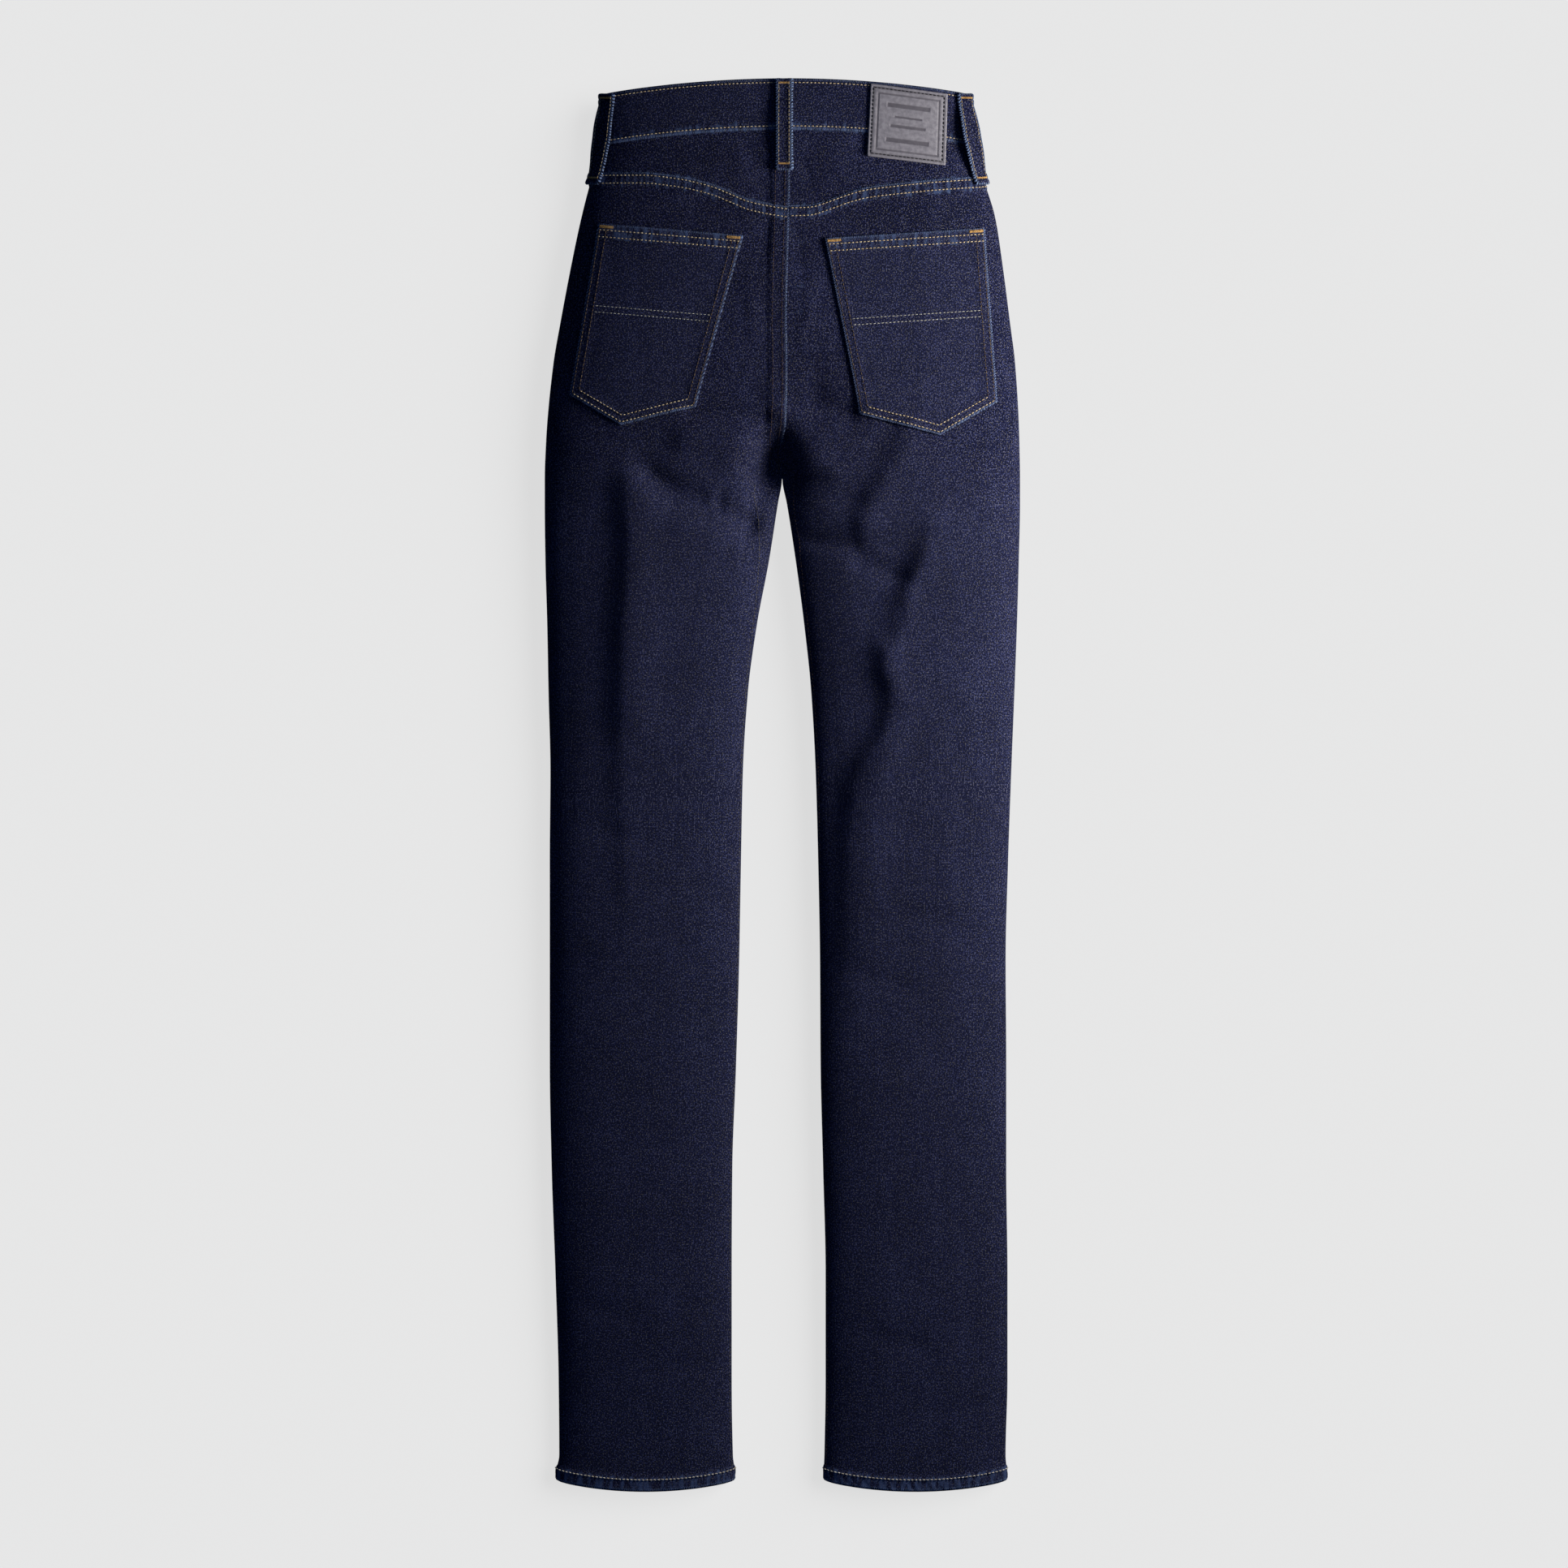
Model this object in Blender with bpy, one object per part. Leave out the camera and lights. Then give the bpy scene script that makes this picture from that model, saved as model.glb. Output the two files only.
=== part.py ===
"""Slim-cut denim jeans, laid flat with the back up and lightly filled out.

Sizes are in millimetres and are turned into metres when a mesh is made. +X is to
the right and +Y runs to the waist when the back is seen from above, +Z is up, and
the front of the garment lies on Z = 0. Left and right are the wearer's, which are
the same sides when the back is seen.

Each half of the garment is a skin: one ring at every level along Y, measured from
the centre back (or from the inner edge of the leg) over the top to the side, and
back along the floor. A cut piece of denim is a stretch of that skin whose wall goes
inwards. What is sewn on top of it is the same skin, moved outwards.
"""

import bmesh
import bpy
import numpy as np

# ------------------------------------------------------------------ the cloth
WALL = 1.5                     # one layer of denim
SEAM_GAP = 0.3                 # clear space between two sewn pieces
LAP_RAISE = 0.8                # a felled seam or folded edge stands this much proud
LAP_DEPTH = 9.5                # over this depth below the yoke seam
FELL_WIDTH = 13.5              # and over this width beside the centre back seam
STEP = 1.5                     # length of the slope down from such a raised edge
LAID_CLEAR = 0.45              # between what is sewn on a panel and the panel
BAND_RAISE = 0.9               # the waistband stands this much proud of the yokes
HEM_WALL = 2.5                 # the turned hem, three layers pressed flat
HEM_DEPTH = 9.0
POCKET_WALL = 1.4
PATCH_WALL = 1.5
LOOP_WALL = 1.7                # a belt loop's folded strip
LOOP_END_WALL = 2.6            # its turned-under, tacked ends

# --------------------------------------------------------------- the outline
# Seen from above: level, left outer, left inner, right inner, right outer.
# Above the crotch both inner edges are the centre seam.
OUTLINE = (
    (572.0, -143.5, 5.5, 5.5, 148.5),
    (521.0, -144.0, 5.5, 5.5, 151.0),
    (502.0, -147.5, 5.5, 5.5, 155.5),
    (484.0, -153.5, 5.5, 5.5, 161.5),
    (455.0, -161.0, 5.0, 5.0, 170.5),
    (420.0, -168.5, 4.0, 4.0, 176.0),
    (370.0, -178.0, 3.0, 3.0, 182.5),
    (338.0, -183.5, 3.5, 3.5, 186.5),
    (290.0, -188.5, 2.5, 2.5, 189.5),
    (274.0, -189.5, 0.0, 0.0, 190.0),
    (245.0, -190.5, -0.2, -0.2, 190.5),
    (225.0, -190.5, -3.5, 3.5, 190.5),
    (180.0, -190.0, -10.5, 10.5, 189.5),
    (127.0, -188.5, -20.5, 17.5, 188.0),
    (74.0, -187.5, -27.5, 23.0, 186.0),
    (11.0, -186.0, -31.5, 26.5, 183.5),
    (-60.0, -186.5, -33.0, 28.5, 181.0),
    (-141.0, -186.5, -34.5, 30.0, 179.0),
    (-225.0, -186.5, -37.0, 30.5, 179.5),
    (-308.0, -185.0, -40.0, 32.5, 179.5),
    (-392.0, -182.0, -40.5, 34.5, 180.5),
    (-476.0, -179.5, -40.5, 34.5, 180.5),
    (-538.0, -179.0, -39.5, 33.5, 179.0),
    (-551.0, -181.5, -38.0, 33.0, 180.0),
    (-572.0, -181.0, -39.0, 33.5, 180.0),
)
CROTCH = 245.0                 # level at which the legs part
SEAT_BLEND = 130.0             # above the crotch, the two crowns join over this length

# Seen from the side: level, crown height, height of the side edge, lift off the floor.
PROFILE = (
    (572.0, 36.0, 17.0, 4.6),
    (520.0, 40.0, 18.0, 4.6),
    (498.0, 42.0, 18.5, 4.6),
    (465.0, 45.0, 19.5, 3.6),
    (430.0, 47.0, 20.0, 0.8),
    (400.0, 47.5, 20.0, 0.0),
    (340.0, 48.0, 20.0, 0.0),
    (245.0, 44.0, 19.0, 0.0),
    (150.0, 41.0, 17.5, 0.0),
    (0.0, 36.0, 15.5, 0.0),
    (-200.0, 31.0, 13.5, 0.0),
    (-400.0, 27.0, 12.0, 0.0),
    (-530.0, 24.0, 11.0, 0.0),
    (-572.0, 24.0, 11.0, 0.0),
)
CROWN_SPREAD = 2.3             # exponents of the crown's curve
CROWN_RISE = 2.2
FLOOR_ROUND = 1.4              # the floor edge rounds over this many side heights

# The largest folds on top: from x, y to x, y, half width, height (a trough is negative).
FOLDS = (
    (-8.0, 270.0, -5.0, 244.0, 16.0, -13.0),      # hollow at the crotch
    (-76.0, 276.0, -24.0, 272.0, 12.0, 3.6),      # roll under the left pocket
    (-72.0, 298.0, -14.0, 294.0, 7.0, -3.2),      # crease above that roll
    (-104.0, 246.0, -50.0, 226.0, 9.0, -3.6),     # crease across the left thigh
    (-50.0, 226.0, -26.0, 208.0, 7.0, -3.0),
    (-118.0, 232.0, -122.0, 60.0, 20.0, 2.4),     # long ridge down the left thigh
    (12.0, 306.0, 52.0, 298.0, 11.0, -4.0),       # hollow inside the right pocket
    (100.0, 282.0, 66.0, 212.0, 13.0, 3.0),       # ridge from the right pocket's point
    (66.0, 206.0, 122.0, 212.0, 9.0, 2.2),
    (16.0, 196.0, 56.0, 190.0, 7.0, -2.8),
    (66.0, 178.0, 112.0, 160.0, 9.0, -3.2),       # crease across the right thigh
    (112.0, 182.0, 80.0, 110.0, 12.0, 2.8),       # ridge that wanders down the right leg
    (80.0, 110.0, 96.0, 66.0, 11.0, 2.8),
    (96.0, 66.0, 70.0, -14.0, 13.0, 2.2),
    (70.0, -14.0, 64.0, -130.0, 16.0, 1.4),
)

# ------------------------------------------------------------------ the seams
OUTSEAM_DROP = 4.0             # the side seam lies this far round, under the side edge
# The inseam's distance from the inner edge, over the top: level, left, right.
INSEAM = (
    (274.0, 0.0, 0.0),
    (270.0, 8.0, 3.5),
    (264.0, 18.0, 7.0),
    (245.0, 23.0, 9.0),
    (225.0, 20.0, 8.5),
    (208.0, 16.0, 8.0),
    (175.0, 12.0, 6.5),
    (137.0, 7.0, 5.0),
    (60.0, 4.0, 3.5),
    (-158.0, 2.5, 2.0),
    (-572.0, 2.0, 2.0),
)
JUNCTION = 274.0               # where the four leg pieces meet
FORK_CLEAR = 0.6               # more room at the inseam there, where the skin bends most
# The yoke seam: distance from the centre seam, level on the left, level on the right.
YOKE_SEAM = (
    (0.0, 462.5, 463.5),
    (16.0, 465.0, 464.0),
    (32.0, 468.5, 468.5),
    (47.0, 474.5, 474.0),
    (62.0, 480.5, 478.0),
    (90.0, 487.0, 481.5),
    (120.0, 490.0, 484.5),
    (180.0, 490.0, 488.5),
)
BAND_TOP = 564.5               # top edge of the waistband at the centre back
BAND_DIP = 12.5                # it falls by this much to the sides
BAND_HEIGHT = 39.5
HEM_SIDE = -555.0              # level of the hem at the side edges
HEM_BACK_DIP = 10.0            # it falls by this much at the middle of the back
HEM_FRONT_DIP = 7.0
HEM_FLATNESS = 0.7             # under 1 the hem is flatter in the middle than a sine

# -------------------------------------------------------------------- the fly
FLY_LAP = 6.0                  # the left front laps this far past the centre
FLY_TUCK = 1.9                 # the right front is tucked this much inwards there
BAND_TUCK = 2.8
TUCK_FLAT = 16.0               # full tuck within this distance of the centre
TUCK_WIDTH = 30.0
UNDERLAP = 32.0                # the waistband's right end runs on under the left one
BAND_TURN = 60.0               # past the side by this, its columns keep step with the front
FLY_FOOT = (372.0, 356.0)      # the lap narrows to nothing between these levels
TUCK_FOOT = (352.0, 318.0)

# ------------------------------------------------------------- the pieces on top
MOUTH_WIDTH = 95.0             # front pocket mouth, from the side seam
MOUTH_DROP = 74.0
FACING_UNDER = 16.0            # the facing runs on behind the mouth
FACING_WALL = 1.2

# Corners of the back pockets, seen from above.
POCKET_LEFT = (
    (-146.5, 448.5), (-169.5, 312.5), (-129.2, 288.5), (-70.0, 303.3), (-32.2, 438.8),
)
POCKET_RIGHT = (
    (34.6, 436.5), (62.7, 297.0), (126.1, 280.4), (171.2, 306.8), (160.8, 445.0),
)

# Corners of the patch: top left, top right, foot right, foot left.
PATCH = ((71.2, 560.6), (131.2, 552.7), (129.5, 496.3), (68.4, 503.6))

LOOP_WIDTH = 12.0
LOOP_LENGTH = 71.0
LOOP_TACK = 6.0                # length of the flat tacked end
SIDE_LOOP_ROUND = 7.0          # the side loops sit this far above the side edge
FRONT_LOOP_PLACE = 76.0        # the front loops' distance from the centre front
BACK_LOOP_X = 1.5
ARCH_BACK = 2.4
ARCH_SIDE = 5.0
ARCH_FRONT = 0.8

BUTTON_RADIUS = 8.5
BUTTON_THICK = 3.2
BUTTON_PLACE = (-7.0, 519.0)
BUTTON_ROUND = 0.9             # its rim is rounded off by this much

# ------------------------------------------------------------------ the meshes
# Levels at which the columns are laid out before the seams' own levels are known.
YOKE_LEVEL = 480.0
BAND_FOOT_LEVEL = 515.0
BAND_LEVEL = 540.0
MOUTH_FOOT_LEVEL = 412.0
SKIN_LEVELS = np.arange(-571.0, 573.1, 4.0)
SKIN_SHARES = np.linspace(0.0, 1.0, 321)
# Levels of the rows shared by the back and the front of a leg.
LEG_ROWS = np.concatenate((
    np.arange(430.0, 320.0, -22.0),
    np.array([320.0, 306.0, 294.0, 284.0]),
    np.array([274.0, 270.0, 264.0, 255.0, 245.0, 236.0]),
    np.arange(225.0, 150.0, -12.0),
    np.array([150.0, 130.0, 106.0, 82.0, 56.0, 28.0]),
    np.arange(-10.0, -540.0, -66.0),
))
SLIVER = 0.3                   # corners of a cut panel closer than this are joined
MM = 0.001

DENIM = ("#232a45", 0.85, 0.0)
DENIM_LIGHT = ("#2b3350", 0.85, 0.0)
LEATHER = ("#867e80", 0.6, 0.0)
COPPER = ("#9a6a4a", 0.35, 1.0)


# ------------------------------------------------------------- tables and skins
def ease(value):
    """A smooth step from 0 to 1 as value goes from 0 to 1."""
    value = np.clip(value, 0.0, 1.0)
    return value * value * (3.0 - 2.0 * value)


def along(table, column, place):
    """A smooth curve through one column of a table, with no overshoot between rows."""
    rows = np.array(sorted(table))
    stops = rows[:, 0]
    values = rows[:, column]
    step = np.diff(stops)
    slope = np.diff(values) / step
    before = slope[:-1]
    after = slope[1:]
    total = np.where(before * after > 0.0, before + after, 1.0)
    middle = np.where(before * after > 0.0, 2.0 * before * after / total, 0.0)
    tangent = np.concatenate((slope[:1], middle, slope[-1:]))
    place = np.clip(place, stops[0], stops[-1])
    i = np.clip(np.searchsorted(stops, place, side="right") - 1, 0, len(step) - 1)
    u = (place - stops[i]) / step[i]
    rise = values[i] * (1.0 + 2.0 * u) * (1.0 - u) ** 2 + values[i + 1] * u * u * (3.0 - 2.0 * u)
    lean = tangent[i] * u * (1.0 - u) ** 2 - tangent[i + 1] * u * u * (1.0 - u)
    return rise + step[i] * lean


def fold_height(x, y):
    """Sum of the folds at a place seen from above; each fades away from its own line."""
    total = np.zeros(np.broadcast(x, y).shape)
    for x0, y0, x1, y1, half_width, height in FOLDS:
        run = np.hypot(x1 - x0, y1 - y0)
        ux = (x1 - x0) / run
        uy = (y1 - y0) / run
        passed = np.clip((x - x0) * ux + (y - y0) * uy, 0.0, run)
        away = np.hypot(x - x0 - passed * ux, y - y0 - passed * uy)
        total = total + height * np.exp(-(away / half_width) ** 2)
    return total


class Half:
    """One leg with its half of the seat. side is -1 on the left and +1 on the right."""

    def __init__(self, side):
        self.side = side
        rings = [self.ring(level) for level in SKIN_LEVELS]
        self.length = np.array([ring[1] for ring in rings])
        self.side_edge = np.array([ring[2] for ring in rings])
        self.points = np.array([ring[0] for ring in rings])
        round_the_ring = np.gradient(self.points, axis=1)
        up_the_leg = np.gradient(self.points, axis=0)
        normals = np.cross(round_the_ring, up_the_leg) * side
        self.normals = normals / np.linalg.norm(normals, axis=2, keepdims=True)

    def edges(self, level):
        """Outer edge, inner edge and cut of the section. Above the crotch the inner edge is
        only where the crown's curve would end, and the cut is the centre seam."""
        side = self.side
        left = along(OUTLINE, 1, level)
        right = along(OUTLINE, 4, level)
        seam = along(OUTLINE, 2, level)
        leg = along(OUTLINE, 2 if side < 0 else 3, level)
        outer, opposite = (left, right) if side < 0 else (right, left)
        reach = np.sin(0.5 * np.pi * np.clip((level - CROTCH) / SEAT_BLEND, 0.0, 1.0))
        seat = level >= CROTCH
        cut = np.where(seat, seam, leg) + side * 0.5 * SEAM_GAP
        inner = np.where(seat, cut + (opposite - cut) * reach, cut)
        return outer, inner, cut

    def across(self, x, level):
        """Place across the section: -1 at the outer edge, +1 at the inner edge."""
        outer, inner, _ = self.edges(level)
        return (x - 0.5 * (inner + outer)) / (0.5 * (inner - outer))

    def top(self, t, x, level):
        """Height of the top at a place across the section."""
        crown = along(PROFILE, 1, level)
        edge = along(PROFILE, 2, level)
        rise = (1.0 - np.minimum(np.abs(t), 1.0) ** CROWN_SPREAD) ** (1.0 / CROWN_RISE)
        return edge + (crown - edge) * rise + fold_height(x, level) * np.minimum(1.0, 1.5 * rise)

    def bottom(self, t, half_width, level):
        """Height of the floor side: flat, with a quarter ellipse up to each edge."""
        edge = along(PROFILE, 2, level)
        lift = along(PROFILE, 3, level)
        rounded = FLOOR_ROUND * edge / half_width
        into = np.clip((np.abs(t) - 1.0 + rounded) / rounded, 0.0, 1.0)
        return edge - (edge - lift) * np.sqrt(1.0 - into * into)

    def ring(self, level):
        """Points at even shares of the ring, its length, and the distance to the side edge."""
        outer, inner, cut = self.edges(level)
        middle = 0.5 * (inner + outer)
        half_width = 0.5 * (inner - outer)
        limit = (cut - middle) / half_width
        swing = np.linspace(0.0, np.pi, 260)
        t = np.minimum(np.cos(swing), limit)
        x = middle + half_width * t
        over = np.stack((x, self.top(t, x, level)), axis=1)
        t = np.minimum(-np.cos(swing[1:]), limit)
        x = middle + half_width * t
        under = np.stack((x, self.bottom(t, abs(half_width), level)), axis=1)
        line = np.concatenate((over, under))
        run = np.concatenate(([0.0], np.cumsum(np.hypot(*np.diff(line, axis=0).T))))
        wanted = SKIN_SHARES * run[-1]
        xs = np.interp(wanted, run, line[:, 0])
        zs = np.interp(wanted, run, line[:, 1])
        ys = np.full_like(xs, level)
        return np.stack((xs, ys, zs), axis=1), run[-1], run[len(over) - 1]

    def round_length(self, level):
        """Length of the ring, from centre back to centre front or all round the leg."""
        return np.interp(level, SKIN_LEVELS, self.length)

    def to_side(self, level):
        """Distance round the ring to the side edge."""
        return np.interp(level, SKIN_LEVELS, self.side_edge)

    def at(self, distance, level):
        """Points and outward normals of the skin, by distance round and level. Past the inner
        edge of a leg the ring goes on from its start; past the centre front it runs on flat."""
        whole = self.round_length(level)
        past = np.maximum(distance - whole, 0.0)
        closed = level <= CROTCH
        share = np.where(closed & (past > 0.0), past, np.minimum(distance, whole)) / whole
        i = (level - SKIN_LEVELS[0]) / (SKIN_LEVELS[1] - SKIN_LEVELS[0])
        j = np.clip(share, 0.0, 1.0) * (len(SKIN_SHARES) - 1)
        i0 = np.clip(np.floor(i).astype(int), 0, len(SKIN_LEVELS) - 2)
        j0 = np.clip(np.floor(j).astype(int), 0, len(SKIN_SHARES) - 2)
        u = (i - i0)[..., None]
        v = (j - j0)[..., None]
        found = []
        for field in (self.points, self.normals):
            low = field[i0, j0] * (1.0 - v) + field[i0, j0 + 1] * v
            high = field[i0 + 1, j0] * (1.0 - v) + field[i0 + 1, j0 + 1] * v
            found.append(low * (1.0 - u) + high * u)
        points, normals = found
        points[..., 0] -= self.side * np.where(closed, 0.0, past)
        normals /= np.linalg.norm(normals, axis=-1, keepdims=True)
        return points, normals


LEFT = Half(-1)
RIGHT = Half(1)


def from_above(x, y):
    """Points and normals of the top of the garment, found by their place seen from above."""
    x, y = np.broadcast_arrays(np.asarray(x, float), np.asarray(y, float))

    def height(px, py):
        on_left = px < along(OUTLINE, 2, py)
        left = LEFT.top(LEFT.across(px, py), px, py)
        right = RIGHT.top(RIGHT.across(px, py), px, py)
        return np.where(on_left, left, right)

    reach = 0.5
    slope_x = (height(x + reach, y) - height(x - reach, y)) / (2.0 * reach)
    slope_y = (height(x, y + reach) - height(x, y - reach)) / (2.0 * reach)
    normals = np.stack((-slope_x, -slope_y, np.ones_like(slope_x)), axis=-1)
    normals /= np.linalg.norm(normals, axis=-1, keepdims=True)
    return np.stack((x, y, height(x, y)), axis=-1), normals


# ----------------------------------------------------------------- mesh making
def linear(hex_colour):
    """Linear colour of an sRGB hex value."""
    channels = [int(hex_colour[i:i + 2], 16) / 255.0 for i in (1, 3, 5)]
    return [c / 12.92 if c <= 0.04045 else ((c + 0.055) / 1.055) ** 2.4 for c in channels]


def finish(name, look):
    """A plain material: colour, roughness, metallic."""
    colour, roughness, metallic = look
    material = bpy.data.materials.new(name)
    material.use_nodes = True
    shader = material.node_tree.nodes["Principled BSDF"]
    shader.inputs["Base Color"].default_value = (*linear(colour), 1.0)
    shader.inputs["Roughness"].default_value = roughness
    shader.inputs["Metallic"].default_value = metallic
    return material


def make_piece(name, points, faces, look):
    """An object from points in millimetres; its faces are turned to point outwards."""
    bm = bmesh.new()
    corners = [bm.verts.new(np.asarray(point) * MM) for point in points]
    for face in faces:
        bm.faces.new([corners[k] for k in face])
    bmesh.ops.recalc_face_normals(bm, faces=bm.faces)
    mesh = bpy.data.meshes.new(name)
    bm.to_mesh(mesh)
    bm.free()
    mesh.shade_smooth()
    mesh.set_sharp_from_angle(angle=np.radians(40.0))
    mesh.materials.append(finish(name, look))
    piece = bpy.data.objects.new(name, mesh)
    bpy.context.collection.objects.link(piece)
    return piece


def cells(index):
    """The faces of a grid of point numbers, two triangles to a cell."""
    a = index[:-1, :-1]
    b = index[:-1, 1:]
    c = index[1:, 1:]
    d = index[1:, :-1]
    return np.stack((a, b, c, a, c, d), axis=-1).reshape(-1, 3).tolist()


def wall(name, outside, inside, faces, look):
    """A closed wall between two sheets that share their faces, with a rim along every open edge."""
    count = len(outside)
    edges = {}
    for face in faces:
        for a, b in zip(face, face[1:] + face[:1]):
            key = (min(a, b), max(a, b))
            edges[key] = None if key in edges else (a, b)
    rim = [(a, b, b + count, a + count) for a, b in filter(None, edges.values())]
    back = [[k + count for k in reversed(face)] for face in faces]
    return make_piece(name, np.concatenate((outside, inside)), faces + back + rim, look)


def shares(near_start, between, near_end):
    """Columns across a piece: each is a share of its width and a shift from that share."""
    first = near_start[-1]
    last = near_end[0]
    middle = np.linspace(0.0, 1.0, between + 2)[1:-1]
    share = np.concatenate((np.zeros(len(near_start)), middle, np.ones(len(near_end))))
    shift = np.concatenate((near_start, first * (1.0 - middle) - last * middle, -np.array(near_end)))
    return share, shift


def spread(columns, start, end):
    """Distances round the ring of every column, for rows that start and end at these."""
    share, shift = columns
    return start + share * (end - start) + shift


def tip_in(inside, outside, half, level):
    """Above the crotch, keep a centre edge's inner points on their own side of the seam."""
    kept = half.side * np.maximum(half.side * inside[..., 0], half.side * outside[..., 0])
    inside[..., 0] = np.where(level > CROTCH, kept, inside[..., 0])


# --------------------------------------------------------------- seam positions
def outseam(half, level):
    return half.to_side(level) + OUTSEAM_DROP


def inseam(half, level):
    return along(INSEAM, 1 if half.side < 0 else 2, level) * (level <= JUNCTION)


def yoke_seam(half, distance):
    return along(YOKE_SEAM, 1 if half.side < 0 else 2, distance)


def band_edge(half, distance):
    """Level of the waistband's top edge: it dips from the back to the sides and on to the front."""
    level = BAND_TOP - BAND_DIP
    side = half.to_side(level)
    back = BAND_TOP - BAND_DIP * (np.minimum(distance, side) / side) ** 2
    left_over = np.clip((distance - side) / (half.round_length(level) - side), 0.0, 1.0)
    return back - BAND_DIP * (1.0 - (1.0 - left_over) ** 2)


def hem(half, distance):
    """Level of the hem's edge, lowest at the middle of the back and of the front."""
    side = half.to_side(HEM_SIDE)
    whole = half.round_length(HEM_SIDE)
    distance = np.mod(distance, whole)
    over = np.clip(distance / side, 0.0, 1.0)
    under = np.clip((distance - side) / (whole - side), 0.0, 1.0)
    bow_over = np.maximum(np.sin(np.pi * over), 0.0) ** HEM_FLATNESS
    bow_under = np.maximum(np.sin(np.pi * under), 0.0) ** HEM_FLATNESS
    return HEM_SIDE - HEM_BACK_DIP * bow_over - HEM_FRONT_DIP * bow_under


def tuck(half, distance, level, depth, foot):
    """How far the right half is pushed inwards near the centre front, under the left half."""
    from_centre = half.round_length(level) - distance
    across = 1.0 - ease((from_centre - TUCK_FLAT) / (TUCK_WIDTH - TUCK_FLAT))
    down = ease((level - foot[1]) / (foot[0] - foot[1]))
    return depth * across * down if half.side > 0 else np.zeros_like(distance)


# ------------------------------------------------------------------- the pieces
# Distances of the columns from a piece's two long edges, closest where the cloth turns.
BACK_COLUMNS = shares(
    [0.0, 6.0, FELL_WIDTH, FELL_WIDTH + STEP, 28.0], 4, [40.0, 26.0, 14.0, 4.0, 0.0],
)
MOUTH_COLUMNS = [0.0, 5.0, 14.0, 26.0, 62.0, 83.0, MOUTH_WIDTH]
FRONT_COLUMNS = shares(MOUTH_COLUMNS, 0, [26.0, 10.0, 0.0])


def hem_rows(half, distance):
    """The last three rows of a leg, from above the turned hem to its edge."""
    edge = hem(half, distance)
    return [edge + HEM_DEPTH + STEP, edge + HEM_DEPTH, edge]


def leg_thickness(level):
    """One layer of denim, and the turned hem's layers in the last two rows."""
    thick = np.full_like(level, WALL)
    thick[-2:] = HEM_WALL
    return thick


def back_width(half, level):
    start = inseam(half, level)
    return start + 0.5 * SEAM_GAP * (level < JUNCTION), outseam(half, level) - 0.5 * SEAM_GAP


def rows_of_back(half, level):
    start, end = back_width(half, level)
    return spread(BACK_COLUMNS, start, end)


def back_leg(name, half):
    """From the yoke seam, where its folded edge stands proud, to the turned hem."""
    at_top = rows_of_back(half, YOKE_LEVEL)
    top = yoke_seam(half, at_top) - 0.5 * SEAM_GAP
    below_lap = top - LAP_DEPTH - STEP
    rows = [top, top - LAP_DEPTH, below_lap, 0.5 * (below_lap + LEG_ROWS[0])]
    rows += [np.full_like(top, level) for level in LEG_ROWS]
    rows += hem_rows(half, rows_of_back(half, HEM_SIDE))
    level = np.array(rows)
    distance = np.array([[rows_of_back(half, y)[k] for k, y in enumerate(row)] for row in level])
    points, normals = half.at(distance, level)
    raised = np.zeros_like(level)
    raised[:2] = LAP_RAISE
    if half.side < 0:
        raised[:, :3] = np.where(level[:, :3] > JUNCTION, LAP_RAISE, raised[:, :3])
    thick = leg_thickness(level)
    outside = points + normals * raised[..., None]
    inside = points - normals * thick[..., None]
    tip_in(inside[:, 0], points[:, 0], half, level[:, 0])
    index = np.arange(level.size).reshape(level.shape)
    piece = wall(name, outside.reshape(-1, 3), inside.reshape(-1, 3), cells(index), DENIM)
    return piece, outside, index


def yoke(name, half):
    """Between the waistband and the yoke seam."""
    at_foot = rows_of_back(half, YOKE_LEVEL)
    at_top = rows_of_back(half, BAND_FOOT_LEVEL)
    foot = yoke_seam(half, at_foot) + 0.5 * SEAM_GAP
    top = band_edge(half, at_top) - BAND_HEIGHT - 0.5 * SEAM_GAP
    level = np.array([top + (foot - top) * share for share in np.linspace(0.0, 1.0, 5)])
    distance = np.array([[rows_of_back(half, y)[k] for k, y in enumerate(row)] for row in level])
    points, normals = half.at(distance, level)
    raised = np.zeros_like(level)
    if half.side < 0:
        raised[:, :3] = LAP_RAISE
        raised[0] = 0.0
    outside = points + normals * raised[..., None]
    inside = points - normals * WALL
    tip_in(inside[:, 0], points[:, 0], half, level[:, 0])
    index = np.arange(level.size).reshape(level.shape)
    return wall(name, outside.reshape(-1, 3), inside.reshape(-1, 3), cells(index), DENIM)


def front_end(half, level):
    """The front's last column: the centre front with the fly's lap, or the leg's inner edge."""
    lap = FLY_LAP * ease((level - FLY_FOOT[1]) / (FLY_FOOT[0] - FLY_FOOT[1]))
    return half.round_length(level) + np.where(half.side < 0, lap, 0.0)


def rows_of_front(half, level):
    return spread(FRONT_COLUMNS, outseam(half, level) + 0.5 * SEAM_GAP, front_end(half, level))


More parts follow.
